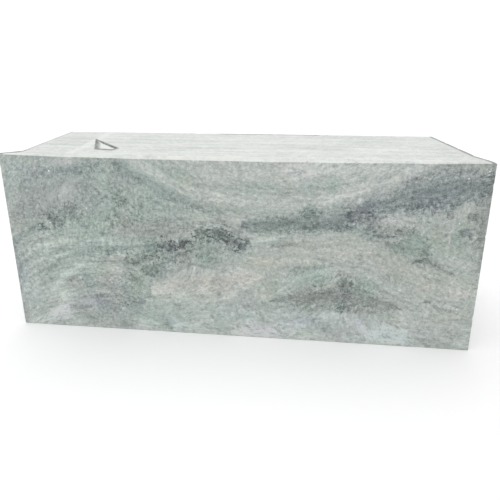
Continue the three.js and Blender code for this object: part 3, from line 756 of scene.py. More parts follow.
tone = calc(marble, "MULTIPLY_ADD", calc(marble, "SUBTRACT", tone, BASE_TONE), given["Contrast"], BASE_TONE)
tone = calc(marble, "ADD", tone, given["Lift"])
marble.links.new(tone, made["Tone"])
print(f"tone: {BASE_TONE} where nothing is painted, {len(marble.nodes)} nodes")

# %% [markdown]
# ## From tone to colour
#
# One ramp turns the tone into a colour, with marble's own darks, which are green, and its whites, which are
# not quite grey. The hue drifts as well as the tone: widely from patch to patch, and a little from crystal to
# crystal. The drift multiplies the colour, so a dark grain and a light one next to it lean the same way.

# %% The colour of the marble
SHADES = [  # tone, colour as a paint chart gives it
    (0.00, (62, 69, 68)), (0.25, (99, 107, 104)), (0.50, (137, 146, 143)), (0.70, (164, 172, 168)),
    (0.85, (185, 192, 188)), (1.00, (209, 214, 211)),
]
WARMER, BLUER = (0.034, -0.005, 0.002), (-0.006, -0.006, 0.034)  # what one step of each adds to the colour

ramp = add_node(marble, "ShaderNodeValToRGB", {"Fac": tone})
for _ in SHADES[2:]:
    ramp.color_ramp.elements.new(0.5)
for stop, (place, color) in zip(ramp.color_ramp.elements, SHADES):
    stop.position = place
    stop.color = shade(*color)

wide = add_node(marble, "ShaderNodeSeparateColor", {0: patches.outputs["Color"]}).outputs
close = add_node(marble, "ShaderNodeSeparateColor", {0: mottle.outputs["Color"]}).outputs
warmth = swing(close["Green"], 1.2, swing(wide["Green"], 3.0, paint["Warm"]))
blueness = swing(close["Blue"], 1.2, swing(wide["Blue"], 2.6, paint["Blue"]))
tint = calc_vector(marble, "MULTIPLY_ADD", warmth, WARMER, (1.0, 1.0, 1.0))
tint = calc_vector(marble, "MULTIPLY_ADD", blueness, BLUER, tint)
color = calc_vector(marble, "MULTIPLY", ramp.outputs["Color"], tint)
marble.links.new(color, made["Color"])
print(f"colour: {len(SHADES)} shades, from {SHADES[0][1]} to {SHADES[-1][1]}")

# %% [markdown]
# ## Glints
#
# Here and there a clean break inside a crystal sends the light straight back. These glints are painted
# highlights: white painted into the colour of the polished face. A pattern of cells picks a few crystals at
# random. The four brightest sit in the dome, so they are placed one by one. Tiny mirrors would glint as well,
# but only from one side, and what is brought out of Blender has to look right from every side.

# %% The glints
SPARKS = [  # along, height, radius
    (-0.939, 0.905, 0.0045), (-0.762, 0.706, 0.003), (-1.028, 0.605, 0.003), (-0.969, 0.622, 0.003),
]
CELLS_PER_METRE = 70.0
RARE = 0.9975  # the share of cells that don't glint

inputs = {"Vector": given["Place"], "Scale": CELLS_PER_METRE, "Randomness": 1.0}
cells = add_node(marble, "ShaderNodeTexVoronoi", inputs)
pick = add_node(marble, "ShaderNodeSeparateColor", {0: cells.outputs["Color"]}).outputs["Red"]
rare = calc(marble, "GREATER_THAN", pick, RARE)
glint = calc(marble, "MULTIPLY", rare, step(marble, cells.outputs["Distance"], 0.30, 0.12))
for x, z, radius in SPARKS:
    inputs = {0: given["Place"], 1: (x, FRONT, z)}
    away = add_node(marble, "ShaderNodeVectorMath", inputs, operation="DISTANCE").outputs["Value"]
    glint = calc(marble, "MAXIMUM", step(marble, away, radius * 1.3, radius * 0.7), glint)
marble.links.new(glint, made["Glint"])
print(f"marble: {sum(len(group.nodes) for group in (beds, paints, marble))} nodes in three groups")

# %% [markdown]
# ## Painted shade, dirt, bruises and a painted highlight
#
# What lies on the stone isn't in the stone, so it is worked out from the place alone. The pocket in the top
# was bruised white by the tool that made it. Its sloping side, its sharp corner and a ring in front of its
# mouth are darkened by painted shade, with some dirt. Painted shade also darkens both end rims of the top and
# the nook behind the lip at the left end, and a dark strip runs along the back of the top. Along the worn
# front arris the top gets a painted highlight, paler here and there.
#
# The pocket's mouth has four straight sides. The distance from each is one dot product, and the least of the
# four tells inside from outside. Painting the shade and dirt by hand on an unwrapped mesh would work too, but
# it would have to be painted again whenever the pocket moved.

# %% The pocket, its painted shade and its dirt
POCKET = [(-0.887, 0.070), (-0.768, -0.168), (-0.661, -0.181), (-0.653, -0.147)]  # the corners of its mouth
WALLS = [0.034, 0.007, 0.007, 0.008]  # how far in from each side the painted shade reaches: the left side slopes
RING = [0.003, 0.034, 0.022, 0.004]  # and how far out it reaches on the top
FADE = 0.003  # how far a ring's edge fades
CORNER = Vector((-0.668, -0.158, 0.0))  # the sharp corner, which is painted darkest
CORNER_SHADE = (0.014, 0.034)  # how far round it the painted shade is thick, and how far it reaches
INSIDE_SHADE, RING_SHADE = 0.1, 0.9

stains_and_painted_light, given, made = new_group("stains_and_painted_light", {"Place": (VECTOR, None)},
                                {"Dirt And Shade": NUMBER, "Bruise": NUMBER, "Arris Highlight": NUMBER})
wobble = noise(stains_and_painted_light, given["Place"], 40.0, detail=3.0)
nudge = calc_vector(stains_and_painted_light, "SUBTRACT", wobble.outputs["Color"], (0.5, 0.5, 0.5))
nudged = calc_vector(stains_and_painted_light, "MULTIPLY_ADD", nudge, (0.010, 0.016, 0.0), given["Place"])
inside, walls, ring = 1.0, 0.0, 1.0
for corner, following, wall, reach in zip(POCKET, POCKET[1:] + POCKET[:1], WALLS, RING):
    start = Vector((*corner, 0.0))
    side = (Vector((*following, 0.0)) - start).normalized()
    inwards = Vector((-side.y, side.x, 0.0))
    inputs = {0: nudged, 1: tuple(inwards)}
    out = add_node(stains_and_painted_light, "ShaderNodeVectorMath", inputs, operation="DOT_PRODUCT").outputs["Value"]
    away = calc(stains_and_painted_light, "SUBTRACT", out, inwards.dot(start))
    inside = calc(stains_and_painted_light, "MULTIPLY", step(stains_and_painted_light, away, -0.002, 0.002), inside)
    walls = calc(stains_and_painted_light, "MAXIMUM", step(stains_and_painted_light, away, wall, wall * 0.1), walls)
    ring = calc(stains_and_painted_light, "MULTIPLY", step(stains_and_painted_light, away, -reach - FADE, -reach * 0.55), ring)
spots = add_node(stains_and_painted_light, "ShaderNodeSeparateXYZ", {0: given["Place"]}).outputs
ragged = add_node(stains_and_painted_light, "ShaderNodeSeparateXYZ", {0: nudged}).outputs
level = calc_vector(stains_and_painted_light, "MULTIPLY", nudged, (1.0, 1.0, 0.0))
inputs = {0: level, 1: tuple(CORNER)}
to_corner = add_node(stains_and_painted_light, "ShaderNodeVectorMath", inputs, operation="DISTANCE").outputs["Value"]
cleared = calc(stains_and_painted_light, "MULTIPLY", inside, calc(stains_and_painted_light, "SUBTRACT", 1.0, walls))
cleared = calc(stains_and_painted_light, "MULTIPLY", cleared, step(stains_and_painted_light, to_corner, *CORNER_SHADE))
# painted shade, with some dirt: the pocket's walls, its corner and a ring before its mouth; the clean floor is
# left out
pocket_shade_and_dirt = calc(stains_and_painted_light, "MULTIPLY_ADD", inside, INSIDE_SHADE, calc(stains_and_painted_light, "MULTIPLY", ring, RING_SHADE))
pocket_shade_and_dirt = calc(stains_and_painted_light, "SUBTRACT", pocket_shade_and_dirt, cleared)
pocket_length = POCKET[3][0] - POCKET[0][0]
print(f"pocket: {pocket_length:.2f} m along the stone, ringed {RING[1] * 1000:.0f} mm wide in front")

# %% [markdown]
# ## Painted shade along the rims
#
# Along both end rims of the top, and in the nook behind the lip, a dark line is painted shade. A dark strip
# is painted along the back of the top as well. The rims at the ends are ragged, so each is a path of three
# points, joined by straight pieces. One noise moves every stain's edge about and thins the stain here and
# there, so that none looks cut out.

# %% Painted shade along the rims, and the painted highlight on the front arris
RIMS = {  # for each end, how far back a point of the rim is and how far out
    -1: [(-0.308, 1.194), (-0.258, 1.115), (0.320, 1.192)],
    1: [(-0.284, 1.194), (-0.204, 1.169), (0.320, 1.169)],
}
RIM_SHADE = {-1: (0.012, 0.5), 1: (0.022, 0.85)}  # how far in the painted shade on each rim reaches, and how dark it is
BACK_STARTS, BACK_ENDS = (-0.21, -0.16), (0.56, 0.50)  # where the dirt along the back fades in and out
BACK_FADE = (BACK - 0.030, BACK - 0.016)
NOOK_SLOPE, NOOK_START = -0.46, 0.252  # the line of the lip's back edge: y = start - slope * x
NOOK_FADE, NOOK_END = (0.034, 0.022), (-1.09, -1.12)
TOP_MARKS_DEPTH, HIGHLIGHT_DEPTH = 0.012, 0.03  # how far down from the top each one goes
SKIN = 0.001  # the dark strip along the back stays on the top itself

back_line = calc(stains_and_painted_light, "MULTIPLY", *(step(stains_and_painted_light, ragged["X"], *fade) for fade in (BACK_STARTS, BACK_ENDS)))
back_line = calc(stains_and_painted_light, "MULTIPLY", back_line, step(stains_and_painted_light, ragged["Y"], *BACK_FADE, 0.0, 0.9))
back_line = calc(stains_and_painted_light, "MULTIPLY", back_line, calc(stains_and_painted_light, "GREATER_THAN", spots["Z"], HEIGHT - SKIN))
# dark marks: painted shade in the pocket, along the rims and in the nook, some dirt, and the dark strip along
# the back
dirt_and_shade = calc(stains_and_painted_light, "MAXIMUM", pocket_shade_and_dirt, back_line)
# painted shade: a dark line along each end rim of the top
for side, path in RIMS.items():
    rim = path[0][1]
    for (front, near), (back, far) in zip(path, path[1:]):
        inputs = {"Value": spots["Y"], "From Min": front, "From Max": back, "To Max": far - near}
        rim = calc(stains_and_painted_light, "ADD", add_node(stains_and_painted_light, "ShaderNodeMapRange", inputs).outputs["Result"], rim)
    inwards = calc(stains_and_painted_light, "MULTIPLY_ADD", spots["X"], -side, rim)
    width, strength = RIM_SHADE[side]
    dirt_and_shade = calc(stains_and_painted_light, "MAXIMUM", step(stains_and_painted_light, inwards, width, width * 0.6, 0.0, strength), dirt_and_shade)
# painted shade in the nook behind the lip at the left end
nook = calc(stains_and_painted_light, "SUBTRACT", spots["Y"], NOOK_START)
nook = calc(stains_and_painted_light, "MULTIPLY_ADD", spots["X"], NOOK_SLOPE, nook)
nook = step(stains_and_painted_light, calc(stains_and_painted_light, "ABSOLUTE", nook), *NOOK_FADE)
nook = calc(stains_and_painted_light, "MULTIPLY", nook, step(stains_and_painted_light, ragged["X"], *NOOK_END))
dirt_and_shade = calc(stains_and_painted_light, "MAXIMUM", nook, dirt_and_shade)
dirt_and_shade = calc(stains_and_painted_light, "MULTIPLY", dirt_and_shade, step(stains_and_painted_light, wobble.outputs["Fac"], 0.35, 0.6, 0.72, 1.0))
on_top = calc(stains_and_painted_light, "GREATER_THAN", spots["Z"], HEIGHT - TOP_MARKS_DEPTH)
below = calc(stains_and_painted_light, "LESS_THAN", spots["Z"], HEIGHT - SKIN / 2)
stains_and_painted_light.links.new(calc(stains_and_painted_light, "MULTIPLY", dirt_and_shade, on_top), made["Dirt And Shade"])
bruise = calc(stains_and_painted_light, "MULTIPLY", cleared, calc(stains_and_painted_light, "MULTIPLY", on_top, below))
stains_and_painted_light.links.new(bruise, made["Bruise"])

# painted highlight: the top is painted paler along its front, where the worn arris catches the light
front_rim_highlight = step(stains_and_painted_light, ragged["Y"], FRONT + 0.034, FRONT + 0.018)
near_top = calc(stains_and_painted_light, "GREATER_THAN", spots["Z"], HEIGHT - HIGHLIGHT_DEPTH)
uneven = noise(stains_and_painted_light, given["Place"], 6.0, detail=3.0, roughness=0.7).outputs["Fac"]
front_rim_highlight = calc(stains_and_painted_light, "MULTIPLY", front_rim_highlight, step(stains_and_painted_light, uneven, 0.38, 0.66))
stains_and_painted_light.links.new(calc(stains_and_painted_light, "MULTIPLY", front_rim_highlight, near_top), made["Arris Highlight"])
print(f"stains: {len(RIMS)} shaded rims, {len(stains_and_painted_light.nodes)} nodes")

# %% [markdown]
# ## The saw's lines
#
# A wire saw pulls a cable set with diamonds through the stone. The cable runs along the block, so it leaves
# fine straight lines along it, and wide faint bands where it slowed down or wandered. Both are noise that is
# squeezed across the stone and pulled out along it, so that it turns into lines.

# %% The saw's lines
FINE_LINES = (0.8, 90.0, 90.0)
BROAD_BANDS = (0.9, 14.0, 14.0)

saw, given, made = new_group("saw_lines", {"Place": (VECTOR, None)}, {"Lines": NUMBER, "Drag": NUMBER})
drawn = calc_vector(saw, "MULTIPLY", given["Place"], FINE_LINES)
lines = noise(saw, drawn, 2.0, detail=3.0, roughness=0.7).outputs["Fac"]
dragged = calc_vector(saw, "MULTIPLY", given["Place"], BROAD_BANDS)
saw.links.new(lines, made["Lines"])
saw.links.new(noise(saw, dragged, 2.0, detail=2.0).outputs["Fac"], made["Drag"])
apart = [1000 / (2 * scale[1]) for scale in (FINE_LINES, BROAD_BANDS)]
print(f"saw: fine lines about {apart[0]:.0f} mm apart and bands about {apart[1]:.0f} mm apart")

# %% [markdown]
# ## Four skins
#
# One marble gets four skins. Polish closes the surface, so light goes in and shows the colour in full. A saw
# leaves it matt, paler and duller, and dust settles on it, most of all on the top. Hammer and point bruise it
# white. A chip is a fresh break, where each crystal shows a flat side of its own. The pattern under them is
# the same, so it runs on round every corner.

# %% Helpers for the skins, and the polish
DUST = shade(241, 240, 238)
# the pale of the pocket's bruise and of the painted highlight on the front arris
PALE_BRUISE_AND_HIGHLIGHT = shade(228, 229, 224)
# the white of the hammer's bruises and of the painted glints
BRUISE_AND_GLINT_WHITE = shade(244, 245, 242)
# the colour of dirt and of painted shade
DIRT_AND_SHADE = shade(104, 108, 104)


def new_skin(name, contrast, lift):
    """A material with the marble wired in: the material, its tree, its place, its marble and its shader."""
    skin = bpy.data.materials.new(name)
    skin.use_nodes = True
    tree = skin.node_tree
    place = add_node(tree, "ShaderNodeTexCoord").outputs["Object"]
    inputs = {"Place": place, "Contrast": contrast, "Lift": lift}
    stone = add_node(tree, "ShaderNodeGroup", inputs, node_tree=marble).outputs
    return skin, tree, place, stone, tree.nodes["Principled BSDF"]


def relief(tree, shader, height, distance, strength=1.0):
    """Tips the shader's surface by a height map that is `distance` high."""
    bump = add_node(tree, "ShaderNodeBump", {"Height": height, "Distance": distance, "Strength": strength})
    tree.links.new(bump.outputs["Normal"], shader.inputs["Normal"])


polished, tree, place, stone, shader = new_skin("polished_marble", 1.20, 0.0)
# painted highlights: the glints are painted white into the polished colour
with_painted_glints = blend(tree, stone["Glint"], stone["Color"], BRUISE_AND_GLINT_WHITE)
tree.links.new(with_painted_glints, shader.inputs["Base Color"])
tree.links.new(step(tree, stone["Tone"], 0.3, 0.9, 0.26, 0.19), shader.inputs["Roughness"])
print(f"{polished.name}: dark crystals take a duller polish than light ones")

# %% [markdown]
# ## Sawn faces
#
# Dust lies thick on the sawn top and thin on the sawn back, where rain took most of it, and it is thicker in
# the bands that the saw left. The bruises, the painted highlight on the front arris, and the dirt and painted
# shade come from the group of stains and painted light and go on over the dust. The saw's lines also tip the
# surface a little, so they catch the light.

# %% The sawn skin
DUST_BELOW = 0.45  # the dust on the sides, as a share of the dust on the top

sawn, tree, place, stone, shader = new_skin("sawn_marble", 1.0, 0.08)
cut = add_node(tree, "ShaderNodeGroup", {"Place": place}, node_tree=saw).outputs
marks = add_node(tree, "ShaderNodeGroup", {"Place": place}, node_tree=stains_and_painted_light).outputs
height = add_node(tree, "ShaderNodeSeparateXYZ", {0: place}).outputs["Z"]
settled = step(tree, height, HEIGHT - 0.030, HEIGHT - 0.010, DUST_BELOW, 1.0)
settled = calc(tree, "MULTIPLY", step(tree, cut["Drag"], 0.3, 0.7, 0.34, 0.56), settled)
dusted = blend(tree, settled, stone["Color"], DUST)
dusted = blend(tree, step(tree, cut["Lines"], 0.55, 0.75, 0.0, 0.10), dusted, DIRT_AND_SHADE)
# the pocket's bruise, and the painted highlight along the front arris
bruised_and_highlit = calc(tree, "MAXIMUM", marks["Bruise"], calc(tree, "MULTIPLY", marks["Arris Highlight"], 0.8))
dusted = blend(tree, bruised_and_highlit, dusted, PALE_BRUISE_AND_HIGHLIGHT)
# dirt and painted shade from the group of stains and painted light
dusted = blend(tree, calc(tree, "MULTIPLY", marks["Dirt And Shade"], 0.9), dusted, DIRT_AND_SHADE)
tree.links.new(dusted, shader.inputs["Base Color"])
shader.inputs["Roughness"].default_value = 0.62
relief(tree, shader, cut["Lines"], 0.0006, 0.6)
print(f"{sawn.name}: {DUST_BELOW:.0%} of the top's dust is left on the sides")

# %% [markdown]
# ## Hewn ends and fresh chips
#
# The hammer crushed the crystals at the ends. A fine noise says how far each one is crushed, and a broad one
# says where the blows fell. Where a chip broke off, the stone shows flat sides of whole crystals, so the
# relief there comes from a pattern of cells instead.

# %% The hewn and the chipped skin
hewn, tree, place, stone, shader = new_skin("hewn_marble", 0.8, 0.05)
crush = noise(tree, place, 70.0, detail=4.0, roughness=0.8).outputs["Fac"]
struck = noise(tree, place, 9.0, detail=2.0).outputs["Fac"]
crushed = blend(tree, step(tree, crush, 0.36, 0.70, 0.05, 0.45), stone["Color"], DUST)
crushed = blend(tree, step(tree, struck, 0.45, 0.65, 0.0, 0.25), crushed, BRUISE_AND_GLINT_WHITE)
height = add_node(tree, "ShaderNodeSeparateXYZ", {0: place}).outputs["Z"]
# painted shade: a dark line along the top of each hewn end
rim_shade_line = step(tree, height, HEIGHT - 0.010, HEIGHT - 0.006, 0.0, 0.8)
tree.links.new(blend(tree, rim_shade_line, crushed, DIRT_AND_SHADE), shader.inputs["Base Color"])
shader.inputs["Roughness"].default_value = 0.85
relief(tree, shader, crush, 0.004, 0.8)

chipped, tree, place, stone, shader = new_skin("chipped_marble", 0.8, 0.04)
facets = add_node(tree, "ShaderNodeTexVoronoi", {"Vector": place, "Scale": 260.0}).outputs
fresh = blend(tree, step(tree, facets["Distance"], 0.2, 0.7, 0.05, 0.30), stone["Color"], BRUISE_AND_GLINT_WHITE)
tree.links.new(fresh, shader.inputs["Base Color"])
shader.inputs["Roughness"].default_value = 0.5
relief(tree, shader, facets["Distance"], 0.0015, 0.7)
print("skins:", ", ".join(skin.name for skin in (polished, sawn, hewn, chipped)))

# %% [markdown]
# ## Dressing the ends and wearing the edges
#
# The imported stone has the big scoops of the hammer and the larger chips. Two finer marks are left. Behind the
# straight margin the mason's point left pits a thumb's width apart all over the ends, and handling has nicked
# the arrises everywhere.
#
# The ends are dressed by laying a fine grid against each of them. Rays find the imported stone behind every
# point of the grid, each point is then sunk by the depth of the pits there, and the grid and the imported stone
# are intersected. The nicks follow the arrises: points are spread along them, each gets a small uneven ball
# with its own size and turn, and the balls are cut away. Both only ever take stone off, as tools do. Moving
# the surface with a displacement instead would push it out in places and tear it at the sharp arrises.

# %% A fine grid laid against each end
GEOMETRY, WHOLE = "NodeSocketGeometry", "NodeSocketInt"
TOOLS = {"Pit Depth": 0.003, "Pits Per Metre": 38.0, "Nick Spacing": 0.06, "Nick Size": 0.0085}
SEED = 5
GRID_STEP = 0.0085
INSIDE = 0.001  # how far inside the rims the rays run
WELD = 0.00001  # points this close to each other become one

named = {"Stone": (GEOMETRY, None), **{name: (NUMBER, value) for name, value in TOOLS.items()}}
named["Seed"] = (WHOLE, SEED)
dressing, given, made = new_group("dressing", named, {"Stone": GEOMETRY}, kind="GeometryNodeTree")
inputs = {"Geometry": given["Stone"], "Distance": WELD}
closed = add_node(dressing, "GeometryNodeMergeByDistance", inputs).outputs[0]

# The grids are the ends of a box just bigger than the stone. Its long edges run straight from end to end.
slack = Vector((0.02, 0.01, 0.01))
box_size = Vector((LENGTH, THICKNESS, HEIGHT)) + slack
inputs = {"Size": tuple(box_size), "Vertices X": 2, "Vertices Y": round(box_size.y / GRID_STEP),
          "Vertices Z": round(box_size.z / GRID_STEP)}
grid = add_node(dressing, "GeometryNodeMeshCube", inputs).outputs["Mesh"]
inputs = {"Geometry": grid, "Translation": (0, 0, HEIGHT / 2)}
grid = add_node(dressing, "GeometryNodeTransform", inputs).outputs[0]
spot = add_node(dressing, "GeometryNodeInputPosition").outputs[0]
parts = add_node(dressing, "ShaderNodeSeparateXYZ", {0: spot}).outputs
end = calc(dressing, "SIGN", parts["X"])
y_inside = calc(dressing, "MINIMUM", calc(dressing, "MAXIMUM", parts["Y"], FRONT + INSIDE), BACK - INSIDE)
z_inside = calc(dressing, "MINIMUM", calc(dressing, "MAXIMUM", parts["Z"], INSIDE), HEIGHT - INSIDE)
far = calc(dressing, "MULTIPLY", end, LENGTH)
start = add_node(dressing, "ShaderNodeCombineXYZ", {0: far, 1: y_inside, 2: z_inside}).outputs[0]
aim = add_node(dressing, "ShaderNodeCombineXYZ", {0: calc(dressing, "MULTIPLY", end, -1.0)}).outputs[0]
inputs = {"Target Geometry": closed, "Source Position": start, "Ray Direction": aim, "Ray Length": LENGTH}
ray = add_node(dressing, "GeometryNodeRaycast", inputs).outputs
found = add_node(dressing, "ShaderNodeSeparateXYZ", {0: ray["Hit Position"]}).outputs["X"]
print(f"grid: {round(box_size.y / GRID_STEP)} by {round(box_size.z / GRID_STEP)} points on each end")

# %% The pits
MARGINS = {-1: 0.012, 1: 0.036}  # where the hewn part starts behind the front, at each end
SPARED = 0.004  # how far behind that the pits start
PROUD = 0.004  # how far off the stone the grid stands where nothing is hewn

limit = step(dressing, end, -1.0, 1.0, FRONT + MARGINS[-1] + SPARED, FRONT + MARGINS[1] + SPARED)
hewn_here = calc(dressing, "GREATER_THAN", parts["Y"], limit)
inputs = {"Vector": spot, "Scale": given["Pits Per Metre"]}
pits = add_node(dressing, "ShaderNodeTexVoronoi", inputs, feature="SMOOTH_F1").outputs["Distance"]
broken = noise(dressing, spot, 70.0, detail=2.0).outputs["Fac"]
sunk = calc(dressing, "MULTIPLY", calc(dressing, "SUBTRACT", 1.0, pits), given["Pit Depth"])
sunk = calc(dressing, "MULTIPLY_ADD", broken, calc(dressing, "MULTIPLY", given["Pit Depth"], 0.8), sunk)
to_rim = calc(dressing, "MINIMUM", parts["Z"], calc(dressing, "SUBTRACT", HEIGHT, parts["Z"]))
sunk = calc(dressing, "MULTIPLY", sunk, step(dressing, to_rim, 0.005, 0.05, 0.2, 1.0))
sunk = calc(dressing, "MULTIPLY_ADD", calc(dressing, "ADD", sunk, PROUD), hewn_here, -PROUD)
x_new = calc(dressing, "SUBTRACT", found, calc(dressing, "MULTIPLY", end, sunk))
placed = add_node(dressing, "ShaderNodeCombineXYZ", {0: x_new, 1: parts["Y"], 2: parts["Z"]}).outputs[0]
grid = add_node(dressing, "GeometryNodeSetPosition", {"Geometry": grid, "Position": placed}).outputs[0]
inputs = {"Mesh 2": closed}
dressed = add_node(dressing, "GeometryNodeMeshBoolean", inputs, operation="INTERSECT", solver="MANIFOLD")
dressing.links.new(grid, dressed.inputs["Mesh 2"])
print(f"pits: {1000 / TOOLS['Pits Per Metre']:.0f} mm apart, about {TOOLS['Pit Depth'] * 1000:.0f} mm deep")

# %% [markdown]
# ## Nicks along the arrises
#
# The cuts run after the grids, so a nick goes through a pit as it would on the bench. The front arris of the
# top is left out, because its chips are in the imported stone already.

# %% Nicking the arrises, as geometry nodes
ARRISES = [((-1, y, z), (1, y, z)) for y, z in ((FRONT, 0.0), (BACK, 0.0), (BACK, HEIGHT))]
ARRISES += [((x, FRONT, 0.0), (x, FRONT, HEIGHT)) for x in (-1, 1)]
FULL_TURN = 6.28
joined = add_node(dressing, "GeometryNodeJoinGeometry")
for first, last in ARRISES:
    ends = [(side * LENGTH / 2, y, z) for side, y, z in (first, last)]
    run = add_node(dressing, "GeometryNodeCurvePrimitiveLine", {"Start": ends[0], "End": ends[1]}).outputs[0]
    dressing.links.new(run, joined.inputs[0])
inputs = {"Curve": joined.outputs[0], "Length": given["Nick Spacing"]}
points = add_node(dressing, "GeometryNodeCurveToPoints", inputs, mode="LENGTH").outputs


def chance(low, high, extra, kind="FLOAT"):
    """A random number or vector for each nick, the same in every run."""
    seed = calc(dressing, "ADD", given["Seed"], extra)
    node = add_node(dressing, "FunctionNodeRandomValue", data_type=kind)
    dressing.links.new(seed, node.inputs["Seed"])
    for name, value in (("Min", low), ("Max", high)):
        next(socket for socket in node.inputs if socket.enabled and socket.name == name).default_value = value
    return next(socket for socket in node.outputs if socket.enabled)


jitter = chance((-0.025, -0.003, -0.003), (0.025, 0.003, 0.003), 1, "FLOAT_VECTOR")
inputs = {"Geometry": points["Points"], "Offset": jitter}
scattered = add_node(dressing, "GeometryNodeSetPosition", inputs).outputs[0]
here = add_node(dressing, "GeometryNodeInputPosition").outputs[0]
out = calc_vector(dressing, "SUBTRACT", here, (0.0, 0.0, HEIGHT / 2))
out = calc_vector(dressing, "MULTIPLY", calc_vector(dressing, "SIGN", out), (0.0, 0.002, 0.002))
scattered = add_node(dressing, "GeometryNodeSetPosition", {"Geometry": scattered, "Offset": out}).outputs[0]
inputs = {"Radius": given["Nick Size"], "Subdivisions": 2}
ball = add_node(dressing, "GeometryNodeMeshIcoSphere", inputs).outputs["Mesh"]
lump = noise(dressing, here, 160.0, detail=1.0).outputs["Color"]
lump = calc_vector(dressing, "SUBTRACT", lump, (0.5, 0.5, 0.5))
lump = calc_vector(dressing, "MULTIPLY", lump, (0.008, 0.008, 0.008))
ball = add_node(dressing, "GeometryNodeSetPosition", {"Geometry": ball, "Offset": lump}).outputs[0]
turned = chance((0, 0, 0), (FULL_TURN, FULL_TURN, FULL_TURN), 2, "FLOAT_VECTOR")
size = chance((0.35, 0.35, 0.35), (1.15, 0.8, 0.8), 3, "FLOAT_VECTOR")
inputs = {"Points": scattered, "Instance": ball, "Rotation": turned, "Scale": size}
balls = add_node(dressing, "GeometryNodeInstanceOnPoints", inputs).outputs[0]
balls = add_node(dressing, "GeometryNodeRealizeInstances", {"Geometry": balls}).outputs[0]
worn = add_node(dressing, "GeometryNodeMeshBoolean", {"Mesh 1": dressed.outputs["Mesh"], "Mesh 2": balls},
                operation="DIFFERENCE", solver="MANIFOLD").outputs["Mesh"]
worn = add_node(dressing, "GeometryNodeRealizeInstances", {"Geometry": worn}).outputs[0]

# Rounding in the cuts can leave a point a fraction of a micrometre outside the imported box.
here = add_node(dressing, "GeometryNodeInputPosition").outputs[0]
held = calc_vector(dressing, "MAXIMUM", here, tuple(cad_low))
held = calc_vector(dressing, "MINIMUM", held, tuple(cad_high))
worn = add_node(dressing, "GeometryNodeSetPosition", {"Geometry": worn, "Position": held}).outputs[0]
print(f"nicks: {len(ARRISES)} arrises, one nick every {TOOLS['Nick Spacing'] * 1000:.0f} mm")

# %% [markdown]
# ## Which skin goes where
#
# A face is told apart by where it lies and how it looks out. The six outer planes are flat to a hair, and the
# ground arrises face out exactly between two of them. Whatever is left near an end is hewn, and whatever is
# left anywhere else is a break. Picking faces by hand would have to be done again after every change.

# %% Sorting the faces
spot = add_node(dressing, "GeometryNodeInputPosition").outputs[0]
facing = add_node(dressing, "GeometryNodeInputNormal").outputs[0]
at = add_node(dressing, "ShaderNodeSeparateXYZ", {0: spot}).outputs
to = add_node(dressing, "ShaderNodeSeparateXYZ", {0: facing}).outputs
size_of = {name: calc(dressing, "ABSOLUTE", to[name]) for name in "XYZ"}


def both(*tests):
    """All of these are true."""
    result = tests[0]
    for test in tests[1:]:
        result = calc(dressing, "MULTIPLY", result, test)
    return result


def either(*tests):
    """At least one of these is true."""
    result = tests[0]
    for test in tests[1:]:
        result = calc(dressing, "MAXIMUM", result, test)
    return result


def close_to(value, middle, reach):
    """The value is within reach of the middle."""
    return calc(dressing, "COMPARE", value, middle, reach)


def over(value, least):
    """The value is greater than the least."""
    return calc(dressing, "GREATER_THAN", value, least)


def under(value, most):
    """The value is less than the most."""
    return calc(dressing, "LESS_THAN", value, most)


HAIR = 0.0004  # how far off its plane a flat face may be
STRAIGHT = 0.999  # how much of its direction looks straight out
WORN_Y, WORN_Z = (-0.82, 0.06), (0.573, 0.08)  # the way the worn front arris looks out, and the play
POCKET_X, POCKET_Y = (-0.78, 0.14), (-0.05, 0.16)  # the middle of the pocket, and how far it reaches
POCKET_DEPTH, WORN_DEPTH = 0.02, 0.022
HEWN_REACH = 0.098  # how far in from an end the hammer's scoops go
BEHIND_FRONT = 0.0045  # the hewn part never comes closer to the front than this

on_front = both(close_to(at["Y"], FRONT, HAIR), under(to["Y"], -STRAIGHT))
on_back = both(close_to(at["Y"], BACK, HAIR), over(to["Y"], STRAIGHT))
on_top = both(close_to(at["Z"], HEIGHT, HAIR), over(to["Z"], STRAIGHT))
on_base = both(close_to(at["Z"], 0.0, HAIR), under(to["Z"], -STRAIGHT))
far_out = calc(dressing, "ABSOLUTE", at["X"])
on_margin = both(close_to(far_out, LENGTH / 2, HAIR), over(size_of["X"], STRAIGHT))
half_way = {name: close_to(size_of[name], math.sqrt(0.5), 0.004) for name in "XYZ"}
eased = both(half_way["Y"], either(half_way["X"], half_way["Z"]))
worn_arris = both(close_to(to["Y"], *WORN_Y), close_to(to["Z"], *WORN_Z), over(at["Z"], HEIGHT - WORN_DEPTH))
in_pocket = both(close_to(at["X"], *POCKET_X), close_to(at["Y"], *POCKET_Y),
                 over(at["Z"], HEIGHT - POCKET_DEPTH))
planes = either(on_front, on_back, on_top, on_base, on_margin, eased, worn_arris)
sawn_here = either(on_back, on_top, on_base, on_margin, eased, worn_arris, in_pocket)
near_end = both(over(far_out, LENGTH / 2 - HEWN_REACH), over(at["Y"], FRONT + BEHIND_FRONT))
print(f"faces: sorted within {HAIR * 1000:.1f} mm of their planes, hewn up to {HEWN_REACH * 100:.1f} cm in")

# %% [markdown]
# ## Shading, and the skins put on
#
# The hammer's scoops are rounded, so they are shaded smooth. Flat faces keep flat shading, because smooth
# shading would smear the light of a chip right across them, and an edge that bends sharply stays an edge.
# Each skin then goes on over the one before: chips everywhere, the hewn ends, the sawn faces, the polish.

# %% Shading, and the skins put on
CREASE = math.radians(38)  # an edge sharper than this stays sharp

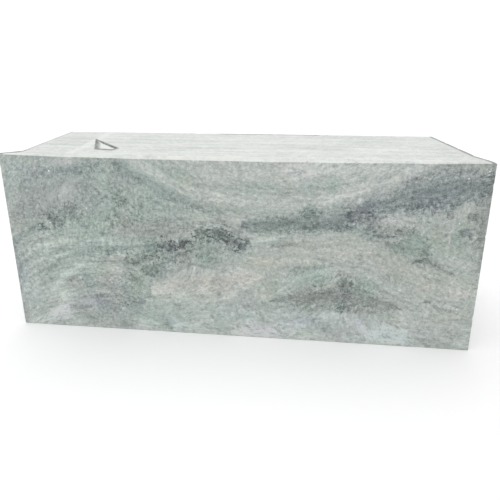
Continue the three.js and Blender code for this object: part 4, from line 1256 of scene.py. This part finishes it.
finished = add_node(dressing, "GeometryNodeSetShadeSmooth", {"Geometry": worn}).outputs[0]
inputs = {"Geometry": finished, "Selection": planes, "Shade Smooth": False}
finished = add_node(dressing, "GeometryNodeSetShadeSmooth", inputs).outputs[0]
bend = add_node(dressing, "GeometryNodeInputMeshEdgeAngle").outputs["Unsigned Angle"]
inputs = {"Geometry": finished, "Selection": over(bend, CREASE), "Shade Smooth": False}
finished = add_node(dressing, "GeometryNodeSetShadeSmooth", inputs, domain="EDGE").outputs[0]
for skin, where in ((chipped, None), (hewn, near_end), (sawn, sawn_here), (polished, on_front)):
    inputs = {"Geometry": finished, "Material": skin}
    if where is not None:
        inputs["Selection"] = where
    finished = add_node(dressing, "GeometryNodeSetMaterial", inputs).outputs[0]
dressing.links.new(finished, made["Stone"])
print(f"dressing: {len(dressing.nodes)} nodes, ends with {finished.node.bl_idname}")

# %% [markdown]
# ## The finished stone
#
# The tools run once on a copy of the imported stone. What they leave is kept as a plain mesh, and the copy
# goes. The new mesh takes the place of the imported one.

# %% Dress the stone
rough = bpy.data.objects.new("rough_stone", packed.data.copy())
scene.collection.objects.link(rough)
rough.data.materials.clear()
for name in ("custom_normal", "sharp_face", "sharp_edge"):
    rough.data.attributes.remove(rough.data.attributes[name])
modifier = rough.modifiers.new("dressing", "NODES")
modifier.node_group = dressing
settings = {**TOOLS, "Seed": SEED}
for item in dressing.interface.items_tree:
    if item.in_out == "INPUT" and item.name in settings:
        modifier[item.identifier] = settings[item.name]
depsgraph = bpy.context.evaluated_depsgraph_get()
slab_mesh = bpy.data.meshes.new_from_object(rough.evaluated_get(depsgraph))
slab_mesh.name = "dressed_slab"
bpy.data.objects.remove(rough)
slab = bpy.data.objects.new("dressed_slab", slab_mesh)
scene.collection.objects.link(slab)
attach(slab, "root")
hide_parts("marble_slab")
counts = {}
for face in slab_mesh.polygons:
    name = slab_mesh.materials[face.material_index].name
    counts[name] = counts.get(name, 0) + 1
print(f"slab: {len(slab_mesh.vertices)} points, {len(slab_mesh.polygons)} faces,", counts)

# %% [markdown]
# ## Both sizes, and finish
#
# The dressed stone may not be bigger than the imported one, so both boxes are printed.

# %% Finish
new_low, new_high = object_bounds()
sizes = {"cad": [list(cad_low), list(cad_high)], "dressed": [list(new_low), list(new_high)]}
for name, (lowest, highest) in sizes.items():
    print(name, " by ".join(f"{b - a:.4f}" for a, b in zip(lowest, highest)), "m")
